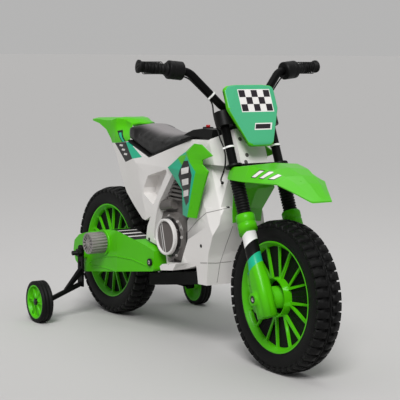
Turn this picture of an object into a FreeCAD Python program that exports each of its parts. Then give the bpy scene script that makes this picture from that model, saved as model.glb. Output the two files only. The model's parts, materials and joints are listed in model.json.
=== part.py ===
import FreeCAD, Part
import math
import os
import re
import Sketcher

# A child's electric motorbike in motocross style with training wheels.
# X points forward, Y to the rider's left and Z up. The origin is on the floor, midway between the axles.
# The right side is modelled and the left side is its mirror image, apart from the drive and the switches.

V = FreeCAD.Vector
DOC = FreeCAD.newDocument("kids_motorbike")
DIMS = DOC.addObject("Spreadsheet::Sheet", "dims")

SIZES = (
    # Fits
    ("clearance", 0.3),
    ("running_gap", 0.08),
    ("overrun", 4),
    # Stance and steering geometry
    ("wheelbase", 733),
    ("tyre_radius", 166),
    ("rake", 23.7),
    ("fork_lead", 11),
    ("stem_setback", 28),
    ("fork_spread", 61.5),
    # Moulded wheels
    ("tread_depth", 6),
    ("tyre_half_width", 30.5),
    ("tread_half_width", 24),
    ("shoulder_drop", 7),
    ("sidewall_radius", 142),
    ("bead_radius", 122),
    ("bead_half_width", 27),
    ("web_half_width", 11),
    ("wheel_hub_radius", 24),
    ("wheel_hub_half_width", 38),
    ("axle_radius", 6),
    ("knob_count", 46),
    ("knob_length", 13),
    ("knob_crown", 13),
    ("knob_gap", 3),
    ("ridge_half_width", 1.5),
    ("ridge_rise", 5),
    # Spoked rims
    ("rim_lip_radius", 121.6),
    ("rim_lip_height", 27),
    ("rim_wall", 3),
    ("rim_throat_radius", 110),
    ("rim_pair_count", 8),
    ("rim_turn", 10.5),
    ("spoke_width", 4.2),
    ("spoke_depth", 6),
    ("hub_ring_radius", 43.5),
    ("hub_ring_wall", 7),
    ("hub_ring_height", 30),
    # Fork
    ("tube_radius", 10),
    ("tube_foot", 160),
    ("collar_foot", 157),
    ("collar_top", 191),
    ("collar_radius", 21),
    ("collar_groove", 1.5),
    ("collar_skirt", 13),
    ("leg_foot", -38),
    ("leg_width", 32),
    ("leg_foot_width", 46),
    ("leg_depth", 32),
    ("leg_foot_depth", 34),
    ("leg_corner", 13),
    ("rib_reach", 7),
    ("rib_width", 5),
    ("rib_top", 66),
    ("rib_foot", -22),
    ("rib_hole", 2.2),
    ("boss_radius", 14),
    ("boss_reach", 84),
    ("socket_radius", 8),
    ("socket_depth", 6),
    ("gaiter_top", 273),
    ("gaiter_radius", 15.5),
    ("gaiter_rib_depth", 2.6),
    ("gaiter_rib_count", 13),
    ("front_axle_half", 77),
    # Fork clamps, stem and head bushes
    ("lower_clamp_foot", 298),
    ("lower_clamp_height", 5),
    ("clamp_ring_radius", 19),
    ("clamp_rear", 46),
    ("clamp_front", 10),
    ("clamp_waist", 22),
    ("stem_radius", 11),
    ("stem_flange_radius", 14),
    ("stem_flange_height", 4),
    ("head_bush_radius", 19),
    ("head_bush_height", 2.5),
    ("head_tube_radius", 16),
    ("head_tube_length", 84),
    ("upper_clamp_height", 34),
    # Handlebar and controls
    ("bar_radius", 9),
    ("bar_bend_radius", 36),
    ("bar_setback", 12),
    ("bar_lift", 12),
    ("bar_flat_half", 44),
    ("bar_knee_gap", 13.7),
    ("bar_half", 242),
    ("bar_rise", 86),
    ("bar_tip_rise", 17),
    ("bar_knee_setback", 4),
    ("bar_tip_setback", 14),
    ("bar_clamp_spread", 18),
    ("bar_clamp_width", 18),
    ("bar_clamp_depth", 27),
    ("bar_clamp_cap", 12),
    ("grip_length", 69),
    ("grip_radius", 12),
    ("grip_flange_radius", 14.5),
    ("grip_flange_width", 4),
    ("grip_groove", 0.8),
    ("grip_cap", 3),
    ("housing_length", 37),
    ("housing_radius", 20.5),
    ("housing_chamfer", 2.5),
    ("horn_radius", 6),
    ("horn_height", 4),
    ("horn_depth", 9),
    ("horn_travel", 2),
    # Number plate
    ("plate_front", 37),
    ("plate_thickness", 11),
    ("plate_top", 474),
    ("plate_arch", 3),
    ("plate_widest", 421),
    ("plate_foot", 335),
    ("plate_half_width", 66),
    ("plate_foot_half_width", 31),
    ("plate_corner", 12),
    ("plate_chamfer", 3),
    ("plate_boss_radius", 7),
    ("plate_boss_spread", 22),
    # Front fender
    ("fender_rear", 244),
    ("fender_length", 248.7),
    ("fender_half_width", 81),
    ("fender_crown", 452),
    ("fender_fall", 65.5),
    ("fender_wall", 3),
    ("apron_half_width", 55),
    ("apron_foot_half_width", 38),
    ("apron_top", 295.5),
    ("apron_foot", 195),
    ("apron_setback", 74),
    ("apron_wall", 3),
    # Cables
    ("cable_span", 500),
    ("cable_radius", 1.7),
    ("tie_width", 4),
    ("tie_wall", 1.3),
    ("ferrule_radius", 3.4),
    ("ferrule_length", 9),
    # Body shell
    ("body_height", 519),
    ("body_half_width", 72),
    ("shell_wall", 4),
    ("head_front", 5),
    ("head_half_width", 42),
    ("head_gap", 1),
    ("nose_setback", 70),
    ("ledge_reach", 96),
    # Engine dummy
    ("engine_height", 17),
    ("engine_gap", 0.6),
    ("ring_radius", 43),
    ("ring_wall", 6),
    ("ring_height", 9),
    ("case_bolt_radius", 3.5),
    ("case_bolt_count", 7),
    ("fin_count", 6),
    ("fin_pitch", 10),
    ("fin_width", 5),
    ("fin_height", 5),
    ("barrel_radius", 13),
    # Shrouds
    ("shroud_half_width", 96),
    ("shroud_wall", 3.5),
    # Seat, base, console and rear fender
    ("seat_half_width", 63),
    ("seat_crown", 7),
    ("seat_tuck", 4),
    ("seat_base_wall", 4.5),
    ("seat_base_half_width", 66),
    ("console_half_width", 50),
    ("console_chamfer", 7),
    ("bezel_radius", 12.5),
    ("bezel_height", 4),
    ("button_radius", 5),
    ("button_height", 7),
    ("button_travel", 2),
    ("tail_half_width", 62),
    ("tail_wall", 3.5),
    # Swing arms and drive
    ("arm_inner", 43),
    ("arm_outer", 98),
    ("arm_front_outer", 84),
    ("arm_corner", 9),
    ("pivot_x", -54),
    ("pivot_height", 185),
    ("pivot_radius", 12),
    ("pivot_bolt_radius", 5),
    ("pivot_bolt_head", 9),
    ("pivot_bolt_cap", 4),
    ("pivot_bolt_length", 62),
    ("motor_x", -264),
    ("motor_height", 206),
    ("motor_boss_radius", 32),
    ("motor_boss_height", 5),
    ("motor_cap_radius", 27),
    ("motor_cap_length", 42.5),
    ("motor_cap_wall", 4),
    ("flute_count", 22),
    ("flute_radius", 2.6),
    ("vent_count", 12),
    ("vent_width", 2.6),
    ("vent_depth", 2.5),
    ("motor_radius", 18),
    ("motor_length", 70),
    ("gearbox_depth", 26),
    ("gearbox_radius", 31),
    ("dog_radius", 17),
    ("rear_axle_half", 135),
    ("axle_nut_radius", 11),
    ("axle_nut_height", 9),
    # Frame
    ("rail_inner", 30),
    ("rail_width", 20),
    ("rail_height", 30),
    ("rail_centre", 151),
    ("rail_slope", 0.168),
    ("rail_rear", -120),
    ("rail_front", 114),
    ("cross_depth", 24),
    ("down_tube_radius", 13),
    ("down_tube_foot", 100),
    # Stabilisers
    ("plate_steel", 5),
    ("bracket_inner", 108),
    ("bracket_half_width", 13),
    ("bracket_foot", 78),
    ("slot_half_width", 4),
    ("arm_bar_radius", 6.5),
    ("brace_width", 16),
    ("brace_depth", 9),
    ("training_radius", 52.8),
    ("training_outer", 250.6),
    ("training_width", 28),
    ("training_lead", 17),
    ("training_hub_radius", 42.7),
    ("training_dish", 8),
    ("training_boss_radius", 11),
    ("training_bolt_radius", 5),
    ("training_bolt_head", 8),
    ("training_bolt_cap", 3),
    ("training_paddle_count", 6),
    ("training_paddle_width", 7),
    ("groove_depth", 2.5),
    ("groove_width", 3),
    # Electrics
    ("battery_length", 90),
    ("battery_width", 70),
    ("battery_height", 101),
    ("control_length", 60),
    ("control_height", 40),
    ("charge_bore", 4),
    ("charge_radius", 9),
    ("charge_flange", 2),
    ("charge_depth", 14),
)

for row, (alias, value) in enumerate(SIZES, start=1):
    DIMS.set(f"A{row}", alias)
    DIMS.set(f"B{row}", str(value))
    DIMS.setAlias(f"B{row}", alias)
DOC.recompute()
ALIASES = {alias for alias, value in SIZES}
NODES = []


class Sizes:
    """The numbers that the sheet holds now, read by name."""

    def __getattr__(self, name):
        return float(DIMS.get(name))


S = Sizes()


# Small tools for bound objects

def bound(text):
    """An expression in which each sheet name points at the sheet."""
    return re.sub(r"[a-z_]+", lambda word: "dims." + word[0] if word[0] in ALIASES else word[0], text)


def number(text):
    """What an expression comes to now."""
    return float(DIMS.evalExpression(text))


def bind(item, **properties):
    """Ties properties of an object to the sheet."""
    for name, text in properties.items():
        item.setExpression(name, bound(text))
    return item


def place(item, x="0", y="0", z="0"):
    """Ties an object's position to the sheet."""
    for axis, text in (("x", x), ("y", y), ("z", z)):
        item.setExpression(f".Placement.Base.{axis}", bound(text))
    return item


def on_fork(item):
    """Puts an object that is drawn along the fork into the raked fork frame."""
    item.Placement = FreeCAD.Placement(V(), FreeCAD.Rotation(V(0, -1, 0), S.rake))
    item.setExpression(".Placement.Rotation.Angle", bound("rake"))
    return place(item, "wheelbase / 2 + fork_lead", "0", "tyre_radius")


def fork_frame():
    """The fork frame: x ahead of the tubes, z up along them, its foot at axle height."""
    foot = V(S.wheelbase / 2 + S.fork_lead, 0, S.tyre_radius)
    return FreeCAD.Placement(foot, FreeCAD.Rotation(V(0, -1, 0), S.rake))


def from_fork(x, y, z):
    """A point of the fork frame in the bike's frame."""
    return fork_frame().multVec(V(x, y, z))


def node(item, label):
    """Names an object as one of the bike's pieces."""
    item.Label = label
    NODES.append(item)
    return item


def add(kind, name, **properties):
    """Makes an object with sizes bound to the sheet."""
    return bind(DOC.addObject(kind, name), **properties)


def solid(name, shape):
    """Holds a shape that is worked out here from the sheet."""
    item = DOC.addObject("Part::Feature", name)
    item.Shape = shape
    return item


def mirrored(item, name, normal=V(0, 1, 0)):
    """The mirror image of an object."""
    twin = DOC.addObject("Part::Mirroring", name)
    twin.Source = item
    twin.Normal = normal
    return twin


def group(name, *items):
    """Several separate solids that share one node."""
    together = DOC.addObject("Part::Compound", name)
    together.Links = list(items)
    return together


def fused(name, *items):
    """One solid from several."""
    whole = DOC.addObject("Part::MultiFuse", name)
    whole.Shapes = list(items)
    return whole


def cut(name, base, *tools):
    """A base with tools taken out of it."""
    tool = tools[0] if len(tools) == 1 else fused(name + "_tools", *tools)
    remains = DOC.addObject("Part::Cut", name)
    remains.Base = base
    remains.Tool = tool
    return remains


def rod(name, radius, length, x="0", y="0", z="0"):
    """A round bar along Y that runs from y towards the right side."""
    bar = add("Part::Cylinder", name, Radius=radius, Height=length)
    bar.Placement = FreeCAD.Placement(V(), FreeCAD.Rotation(V(1, 0, 0), 90))
    return place(bar, x, y, z)


def box(name, x, y, z):
    """A block between bounds along each axis, each given as a pair of expressions."""
    block = add(
        "Part::Box",
        name,
        Length=f"({x[1]}) - ({x[0]})",
        Width=f"({y[1]}) - ({y[0]})",
        Height=f"({z[1]}) - ({z[0]})",
    )
    return place(block, x[0], y[0], z[0])


# Sketched bodies

def new_body(name):
    """An empty body."""
    return DOC.addObject("PartDesign::Body", name)


def origin(body, role):
    """A plane or axis of the body's own origin."""
    return next(item for item in body.Origin.OriginFeatures if item.Role == role)


def sketch(body, name, role, outlines=(), circles=(), lift="0"):
    """A sketch of straight outlines and circles whose points and radii are bound to the sheet."""
    drawing = body.newObject("Sketcher::SketchObject", name)
    drawing.AttachmentSupport = [(origin(body, role), "")]
    drawing.MapMode = "FlatFace"
    drawing.setExpression(".AttachmentOffset.Base.z", bound(lift))

    def dimension(kind, geometry, vertex, text):
        if kind == "Radius":
            rule = Sketcher.Constraint(kind, geometry, number(text))
        else:
            rule = Sketcher.Constraint(kind, -1, 1, geometry, vertex, number(text))
        index = drawing.addConstraint(rule)
        drawing.setExpression(f"Constraints[{index}]", bound(text))

    for outline in outlines:
        corners = [V(number(x), number(y), 0) for x, y in outline]
        ends = corners[1:] + corners[:1]
        lines = [drawing.addGeometry(Part.LineSegment(a, b)) for a, b in zip(corners, ends)]
        for line, following in zip(lines, lines[1:] + lines[:1]):
            drawing.addConstraint(Sketcher.Constraint("Coincident", line, 2, following, 1))
        for line, (x, y) in zip(lines, outline):
            dimension("DistanceX", line, 1, x)
            dimension("DistanceY", line, 1, y)
    for x, y, radius in circles:
        centre = V(number(x), number(y), 0)
        ring = drawing.addGeometry(Part.Circle(centre, V(0, 0, 1), number(radius)))
        dimension("DistanceX", ring, 3, x)
        dimension("DistanceY", ring, 3, y)
        dimension("Radius", ring, 0, radius)
    return drawing


def feature(body, kind, name, profile, **properties):
    """A sketch-based feature of a body."""
    step = body.newObject("PartDesign::" + kind, name)
    step.Profile = profile
    return bind(step, **properties)


def pad(body, name, profile, length, both_ways=False):
    """Raises a sketch, from its plane or to both sides of it."""
    step = feature(body, "Pad", name, profile, Length=length)
    step.SideType = "Symmetric" if both_ways else "One side"
    return step


def pocket(body, name, profile, length, backwards=False):
    """Sinks a sketch by a length, against its plane's normal unless backwards."""
    step = feature(body, "Pocket", name, profile, Length=length)
    step.Reversed = backwards
    return step


def revolved(body, name, profile, kind="Revolution"):
    """Turns a sketch once about its own vertical axis, to add or, as a groove, to take away."""
    step = feature(body, kind, name, profile)
    step.ReferenceAxis = (profile, ["V_Axis"])
    step.Angle = 360
    return step


def polar(body, name, original, axis, count):
    """Repeats a feature round one of the body's axes."""
    pattern = body.newObject("PartDesign::PolarPattern", name)
    pattern.Originals = [original]
    pattern.Axis = (origin(body, axis), [""])
    pattern.Angle = 360
    bind(pattern, Occurrences=count)
    body.Tip = pattern
    return pattern


def edges_at(shape, along, corners, reach):
    """Names of the straight edges that run along an axis at given corners of the other two axes."""
    across = [axis for axis in ("x", "y", "z") if axis != along]
    names = []
    for index, edge in enumerate(shape.Edges, start=1):
        if len(edge.Vertexes) != 2 or not isinstance(edge.Curve, Part.Line):
            continue
        ends = [vertex.Point for vertex in edge.Vertexes]
        flat = [tuple(getattr(end, axis) for axis in across) for end in ends]
        if math.dist(*flat) < reach and any(math.dist(flat[0], corner) < reach for corner in corners):
            names.append(f"Edge{index}")
    return names


def round_corners(body, name, base, along, corners, radius):
    """Rounds the upright corners of a padded outline."""
    DOC.recompute()
    spots = [(number(x), number(y)) for x, y in corners]
    step = body.newObject("PartDesign::Fillet", name)
    step.Base = (base, edges_at(base.Shape, along, spots, S.clearance))
    bind(step, Radius=radius)
    body.Tip = step
    return step


def rim_edges(body, name, base, face_axis, level, size):
    """Chamfers all edges of the flat face at a level along an axis."""
    DOC.recompute()
    height = number(level)
    names = []
    for index, edge in enumerate(base.Shape.Edges, start=1):
        places = [getattr(vertex.Point, face_axis) for vertex in edge.Vertexes]
        if all(abs(spot - height) < S.running_gap for spot in places):
            names.append(f"Edge{index}")
    step = body.newObject("PartDesign::Chamfer", name)
    step.Base = (base, names)
    bind(step, Size=size)
    body.Tip = step
    return step


def shared(shares, wide, tall):
    """Outline points given as shares of a width and a height."""
    return [(f"({x}) * {wide}", f"({y}) * {tall}") for x, y in shares]


# Shapes worked out in code

def polygon_face(points):
    """A flat face inside a closed outline."""
    return Part.Face(Part.makePolygon(list(points) + [points[0]]))


def side_prism(points, near, far):
    """An outline in the XZ plane, extruded from y = -near to y = -far."""
    face = polygon_face([V(x, -near, z) for x, z in points])
    return face.extrude(V(0, near - far, 0))


def inset(points, depth):
    """The closed outline moved inwards, or outwards where the depth is negative."""
    following = points[1:] + points[:1]
    turn = sum(x * next_y - next_x * y for (x, y), (next_x, next_y) in zip(points, following))
    ringed = points[-1:] + points + points[:1]
    return offset_line(ringed, math.copysign(depth, depth * turn))[1:-1]


def plan_prism(points, low, high):
    """An outline across the fork frame, extruded along the fork."""
    shape = polygon_face([V(x, y, low) for x, y in points]).extrude(V(0, 0, high - low))
    shape.Placement = fork_frame()
    return shape


def front_prism(points, back, ahead):
    """An outline in the YZ plane, extruded along X."""
    return polygon_face([V(back, y, z) for y, z in points]).extrude(V(ahead - back, 0, 0))


def offset_line(points, depth):
    """An open line moved to its left, with mitred corners."""
    runs = []
    for (x, y), (next_x, next_y) in zip(points, points[1:]):
        length = math.hypot(next_x - x, next_y - y)
        runs.append(((y - next_y) / length, (next_x - x) / length))
    moved = []
    for index, (x, y) in enumerate(points):
        before = runs[max(index - 1, 0)]
        after = runs[min(index, len(runs) - 1)]
        scale = depth / (1 + before[0] * after[0] + before[1] * after[1])
        moved.append((x + (before[0] + after[0]) * scale, y + (before[1] + after[1]) * scale))
    return moved


def sheet_section(half, wall, x):
    """A closed section of a folded sheet at one place along X, from its left half."""
    outer = half + [(-y, z) for y, z in half[::-1] if y > 0]
    return [V(x, y, z) for y, z in outer + offset_line(outer, wall)[::-1]]


def loft(sections, ruled=True):
    """A solid through closed outlines."""
    return Part.makeLoft([Part.makePolygon(list(points) + [points[0]]) for points in sections], True, ruled)


def rounded_section(width, depth, corner, centre):
    """A rectangle with round corners across the fork."""
    half_x, half_y = width / 2, depth / 2
    edges = []
    corners = ((1, 1), (-1, 1), (-1, -1), (1, -1))
    for turn, (sign_x, sign_y) in enumerate(corners):
        middle = centre + V(sign_x * (half_x - corner), sign_y * (half_y - corner), 0)
        angles = [math.radians(90 * turn + step) for step in (0, 45, 90)]
        arc = [middle + V(math.cos(angle), math.sin(angle), 0) * corner for angle in angles]
        if edges:
            edges.append(Part.LineSegment(edges[-1].valueAt(edges[-1].LastParameter), arc[0]).toShape())
        edges.append(Part.Arc(*arc).toShape())
    first = edges[0].valueAt(edges[0].FirstParameter)
    last = edges[-1].valueAt(edges[-1].LastParameter)
    edges.append(Part.LineSegment(last, first).toShape())
    return Part.Wire(Part.sortEdges(edges)[0])


def bent_path(points, radius=None, name=None):
    """Straight runs joined by tangent arcs, as large as the runs allow where no radius is given."""
    ease_share = 0.45
    edges = []
    start = points[0]
    radii = []
    for before, corner, after in zip(points, points[1:], points[2:]):
        back, ahead = before - corner, after - corner
        shorter = min(back.Length, ahead.Length)
        back.normalize()
        ahead.normalize()
        turn = math.pi - back.getAngle(ahead)
        reach = radius * math.tan(turn / 2) if radius else ease_share * shorter
        radii.append(reach / math.tan(turn / 2))
        first, last = corner + back * reach, corner + ahead * reach
        bisector = (back + ahead).normalize()
        depth = radii[-1] / math.cos(turn / 2) - radii[-1]
        edges.append(Part.LineSegment(start, first).toShape())
        edges.append(Part.Arc(first, corner + bisector * depth, last).toShape())
        start = last
    edges.append(Part.LineSegment(start, points[-1]).toShape())
    if name:
        print(name, "bend radii", [round(value, 1) for value in radii])
    return Part.Wire(edges)


def tube(path, radius, name=None):
    """A round bar along a path."""
    first = path.Edges[0]
    start = first.valueAt(first.FirstParameter)
    heading = first.tangentAt(first.FirstParameter)
    ring = Part.Wire(Part.Circle(start, heading, radius).toShape())
    shape = Part.Wire(path).makePipeShell([ring], True, False)
    if name:
        expected = math.pi * radius * radius * path.Length
        print(name, "volume over section times length", round(shape.Volume / expected, 4))
    return shape


def along(start, end, radius):
    """A round bar between two points."""
    run = end - start
    return Part.makeCylinder(radius, run.Length, start, run)


# Wheels, rims and axles

FRONT = "wheelbase / 2"
REAR = "-wheelbase / 2"
AXLE = "tyre_radius"
CARCASS = "(tyre_radius - tread_depth)"


def wheel_profile():
    """Half the wheel's section from the bore out to the tread, and its mirror image."""
    half = [
        ("axle_radius + running_gap", "wheel_hub_half_width"),
        ("wheel_hub_radius", "wheel_hub_half_width"),
        ("wheel_hub_radius", "web_half_width"),
        ("bead_radius", "web_half_width"),
        ("bead_radius", "bead_half_width"),
        ("sidewall_radius", "tyre_half_width"),
        (f"{CARCASS} - shoulder_drop", "tyre_half_width - tread_depth / 4"),
        (CARCASS, "tread_half_width * 0.7"),
        (CARCASS, "ridge_half_width"),
        (f"{CARCASS} + ridge_rise", "ridge_half_width"),
    ]
    right = [(radius, f"-({y})") for radius, y in half]
    return right + half[::-1]


def build_wheel():
    """The moulded wheel: closed web, sidewalls and two staggered rows of hooked tread knobs."""
    body = new_body("wheel")
    revolved(body, "wheel_turned", sketch(body, "wheel_section", "XY_Plane", [wheel_profile()]))
    inner = "(ridge_half_width + knob_gap)"
    middle = "(tread_half_width * 0.72)"
    outer = "tyre_half_width"
    hooked = [
        (inner, "-knob_length / 2"),
        (outer, "-knob_length / 2"),
        (outer, "knob_length * 0.85"),
        (middle, "knob_length * 0.85"),
        (middle, "knob_length / 2"),
        (inner, "knob_length / 2"),
    ]
    root = f"{CARCASS} - shoulder_drop"
    for side, sign, turn in (("left", "", 0), ("right", "-", 180 / S.knob_count)):
        outline = [(f"{sign}({y})", z) for y, z in hooked]
        drawing = sketch(body, f"knob_{side}_outline", "YZ_Plane", [outline], lift=root)
        if turn:
            drawing.setExpression(".AttachmentOffset.Base.z", None)
            spin = FreeCAD.Rotation(V(1, 0, 0), turn)
            drawing.AttachmentOffset = FreeCAD.Placement(spin.multVec(V(0, 0, number(root))), spin)
        block = pad(body, f"knob_{side}", drawing, "tread_depth + shoulder_drop - clearance * 1.2")
        polar(body, f"knobs_{side}", block, "Y_Axis", "knob_count")
    shoulders = []
    for sign in ("", "-"):
        corner = [
            ("tyre_radius", "knob_crown"),
            ("tyre_radius + overrun", "knob_crown"),
            ("tyre_radius + overrun", "tyre_half_width + overrun"),
            (CARCASS, "tyre_half_width + overrun"),
            (CARCASS, "tyre_half_width"),
        ]
        shoulders.append([(radius, f"{sign}({y})") for radius, y in corner])
    DOC.recompute()
    drawing = sketch(body, "shoulder_section", "XY_Plane", shoulders)
    body.Tip = revolved(body, "shoulders", drawing, "Groove")
    place(body, FRONT, "0", AXLE)
    node(body, "front_wheel")
    node(mirrored(body, "rear_wheel", V(1, 0, 0)), "rear_wheel")


def build_rims():
    """The green spoked rims: a deep conical lip, eight V pairs of spokes and a hub ring."""
    body = new_body("rim")
    lip = [
        ("rim_lip_radius", "-rim_lip_height"),
        ("rim_lip_radius - rim_wall", "-rim_lip_height"),
        ("rim_throat_radius", "-(web_half_width + spoke_depth)"),
        ("rim_throat_radius", "-web_half_width"),
        ("rim_throat_radius + rim_wall", "-web_half_width"),
    ]
    revolved(body, "rim_lip", sketch(body, "rim_lip_section", "XY_Plane", [lip]))
    start = "(hub_ring_radius - hub_ring_wall / 2)"
    end = "(rim_throat_radius + rim_wall / 2)"
    spread = "(rim_throat_radius * sin(90 / rim_pair_count))"
    crotch = f"({start} + ({end} - {start}) * 0.14)"
    pair = [
        (start, "-spoke_width * 0.8"),
        (end, f"-{spread} - spoke_width / 2"),
        (end, f"-{spread} + spoke_width / 2"),
        (crotch, "0"),
        (end, f"{spread} - spoke_width / 2"),
        (end, f"{spread} + spoke_width / 2"),
        (start, "spoke_width * 0.8"),
    ]
    drawing = sketch(body, "spoke_outline", "XZ_Plane", [pair], lift="web_half_width")
    spokes = pad(body, "spoke_pair", drawing, "spoke_depth")
    polar(body, "spoke_pairs", spokes, "Y_Axis", "rim_pair_count")
    ring = [
        ("hub_ring_radius - hub_ring_wall", "-web_half_width"),
        ("hub_ring_radius", "-web_half_width"),
        ("hub_ring_radius", "-hub_ring_height"),
        ("hub_ring_radius - hub_ring_wall / 3", "-hub_ring_height"),
        ("hub_ring_radius - hub_ring_wall", "-(web_half_width + hub_ring_height) / 2"),
    ]
    revolved(body, "hub_ring", sketch(body, "hub_ring_section", "XY_Plane", [ring]))
    body.Placement = FreeCAD.Placement(V(), FreeCAD.Rotation(V(0, 1, 0), S.rim_turn))
    body.setExpression(".Placement.Rotation.Angle", bound("rim_turn"))
    place(body, FRONT, "0", AXLE)
    left = mirrored(body, "front_rim_left")
    front = group("front_rims", body, left)
    node(front, "front_rims")
    node(mirrored(front, "rear_rims", V(1, 0, 0)), "rear_rims")


def socket_cap(name, x, z):
    """A round axle cap with a hexagon socket, sunk in the fork boss on the right."""
    cap = rod(name + "_blank", "socket_radius - clearance", "socket_depth", x, "-front_axle_half", z)
    hexagon = add(
        "Part::Prism", name + "_socket", Circumradius="socket_radius * 0.5", Height="socket_depth"
    )
    hexagon.Polygon = 6
    hexagon.Placement = FreeCAD.Placement(V(), FreeCAD.Rotation(V(1, 0, 0), 90))
    place(hexagon, x, "-front_axle_half - socket_depth / 2", z)
    return cut(name, cap, hexagon)


def build_axles():
    """Both axles with their caps and nuts."""
    front = rod("front_axle", "axle_radius", "2 * front_axle_half", FRONT, "front_axle_half", AXLE)
    node(front, "front_axle")
    cap = socket_cap("axle_cap", FRONT, AXLE)
    node(group("front_axle_caps", cap, mirrored(cap, "axle_cap_left")), "front_axle_caps")
    rear = rod("rear_axle", "axle_radius", "2 * rear_axle_half", REAR, "rear_axle_half", AXLE)
    node(rear, "rear_axle")
    blank = add("Part::Prism", "axle_nut_blank", Circumradius="axle_nut_radius", Height="axle_nut_height")
    blank.Polygon = 6
    blank.Placement = FreeCAD.Placement(V(), FreeCAD.Rotation(V(1, 0, 0), 90))
    place(blank, REAR, "-(bracket_inner + plate_steel)", AXLE)
    fit = "axle_radius + running_gap"
    hole = rod("axle_nut_hole", fit, "2 * rear_axle_half", REAR, "rear_axle_half", AXLE)
    nut = cut("axle_nut", blank, hole)
    node(group("rear_axle_nuts", nut, mirrored(nut, "axle_nut_left")), "rear_axle_nuts")


# Fork

LEG_STATION_SHARES = ((0.0, 0.0), (0.36, 0.0), (0.46, 0.30), (0.58, 0.85), (0.72, 1.0), (1.0, 0.95))


def build_fork():
    """Legs, tubes and gaiters on the raked fork."""
    sections = []
    for fall_share, foot_share in LEG_STATION_SHARES:
        level = S.collar_foot + (S.leg_foot - S.collar_foot) * fall_share
        width = S.leg_width + (S.leg_foot_width - S.leg_width) * foot_share
        depth = S.leg_depth + (S.leg_foot_depth - S.leg_depth) * foot_share
        corner = S.leg_depth / 2 - S.clearance + (S.leg_corner - S.leg_depth / 2) * foot_share
        sections.append(rounded_section(width, depth, corner, V(0, -S.fork_spread, level)))
    leg = Part.makeLoft(sections, True, True)
    steps = [
        (0, S.collar_foot),
        (S.collar_radius - S.collar_groove, S.collar_foot),
        (S.collar_radius, S.collar_foot + 2 * S.collar_groove),
        (S.collar_radius, S.collar_foot + 8 * S.collar_groove),
        (S.collar_radius - S.collar_groove, S.collar_foot + 9 * S.collar_groove),
        (S.collar_radius - S.collar_groove, S.collar_foot + 10 * S.collar_groove),
        (S.collar_radius, S.collar_foot + 11 * S.collar_groove),
        (S.collar_radius, S.collar_top - 3 * S.collar_groove),
        (S.collar_radius - 2 * S.collar_groove, S.collar_top),
        (0, S.collar_top),
    ]
    outline = polygon_face([V(radius, 0, level) for radius, level in steps])
    collar = outline.revolve(V(), V(0, 0, 1), 360)
    collar.translate(V(0, -S.fork_spread, 0))
    skirt_foot = S.collar_foot - S.collar_skirt
    skirt_top = S.collar_foot + 2 * S.collar_groove
    sleeve = S.collar_radius
    slant = [(-sleeve, skirt_foot), (sleeve, S.collar_foot), (sleeve, skirt_top), (-sleeve, skirt_top)]
    foot = V(0, -S.fork_spread, skirt_foot)
    skirt = along(foot, V(0, -S.fork_spread, skirt_top), sleeve)
    skirt = skirt.common(side_prism(slant, S.fork_spread - sleeve, S.fork_spread + sleeve))
    back = S.leg_foot_width / 2
    tab = back + S.rib_reach
    ribbed = [
        (-back / 2, S.rib_foot),
        (-back - S.rib_reach / 2, S.rib_foot),
        (-tab, S.rib_foot + S.rib_reach),
        (-tab, S.rib_top - 3 * S.rib_reach),
        (-back, S.rib_top),
        (-back / 2, S.rib_top),
    ]
    rib_middle = S.fork_spread + S.leg_foot_depth / 4
    rib_near, rib_far = rib_middle - S.rib_width / 2, rib_middle + S.rib_width / 2
    rib = side_prism(ribbed, rib_near, rib_far)
    eye = V(-back - S.rib_reach / 2, 0, S.rib_top - 4 * S.rib_reach)
    rib = rib.cut(along(eye - V(0, rib_near, 0), eye - V(0, rib_far, 0), S.rib_hole))
    axle = fork_frame().inverse().multVec(V(S.wheelbase / 2, 0, S.tyre_radius))
    boss_start = S.fork_spread + S.leg_foot_depth / 4
    boss = along(axle - V(0, boss_start, 0), axle - V(0, S.boss_reach, 0), S.boss_radius)
    bore = along(axle, axle - V(0, S.boss_reach, 0), S.axle_radius + S.clearance)
    socket_foot, socket_top = axle - V(0, S.front_axle_half, 0), axle - V(0, S.boss_reach + S.overrun, 0)
    socket = along(socket_foot, socket_top, S.socket_radius)
    well_foot = V(0, -S.fork_spread, S.tube_foot)
    well = along(well_foot, well_foot + V(0, 0, S.collar_top), S.tube_radius + S.running_gap)
    shape = leg.fuse([collar, skirt, rib, boss]).removeSplitter().cut([bore, socket, well])
    right = on_fork(solid("fork_leg", shape))
    node(right, "right_fork_leg")
    node(mirrored(right, "fork_leg_left"), "left_fork_leg")

    bar = add("Part::Cylinder", "fork_tube", Radius="tube_radius", Height=f"{UPPER_TOP} - tube_foot")
    on_fork(bar)
    foot_x = "wheelbase / 2 + fork_lead - sin(rake) * tube_foot"
    place(bar, foot_x, "-fork_spread", "tyre_radius + cos(rake) * tube_foot")
    node(group("fork_tubes", bar, mirrored(bar, "fork_tube_left")), "fork_tubes")

    boot = on_fork(solid("gaiter", gaiter_shape()))
    node(boot, "right_fork_gaiter")
    node(mirrored(boot, "gaiter_left"), "left_fork_gaiter")


def gaiter_shape():
    """A ribbed boot round the tube, four circles to a rib."""
    pitch = (S.gaiter_top - S.collar_top) / S.gaiter_rib_count
    valley = S.gaiter_radius - S.gaiter_rib_depth
    rib_shares = ((0.05, valley), (0.30, S.gaiter_radius), (0.70, S.gaiter_radius), (0.95, valley))
    rings = []
    levels = [(S.collar_top, valley)]
    for rib in range(int(S.gaiter_rib_count)):
        levels += [(S.collar_top + (rib + share) * pitch, radius) for share, radius in rib_shares]
    levels.append((S.gaiter_top, valley))
    for level, radius in levels:
        ring = Part.Circle(V(0, -S.fork_spread, level), V(0, 0, 1), radius)
        rings.append(Part.Wire(ring.toShape()))
    outer = Part.makeLoft(rings, True, True)
    foot = V(0, -S.fork_spread, S.collar_top - S.overrun)
    bore = along(foot, foot + V(0, 0, S.gaiter_top), S.tube_radius + S.clearance)
    return outer.cut(bore)


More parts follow.
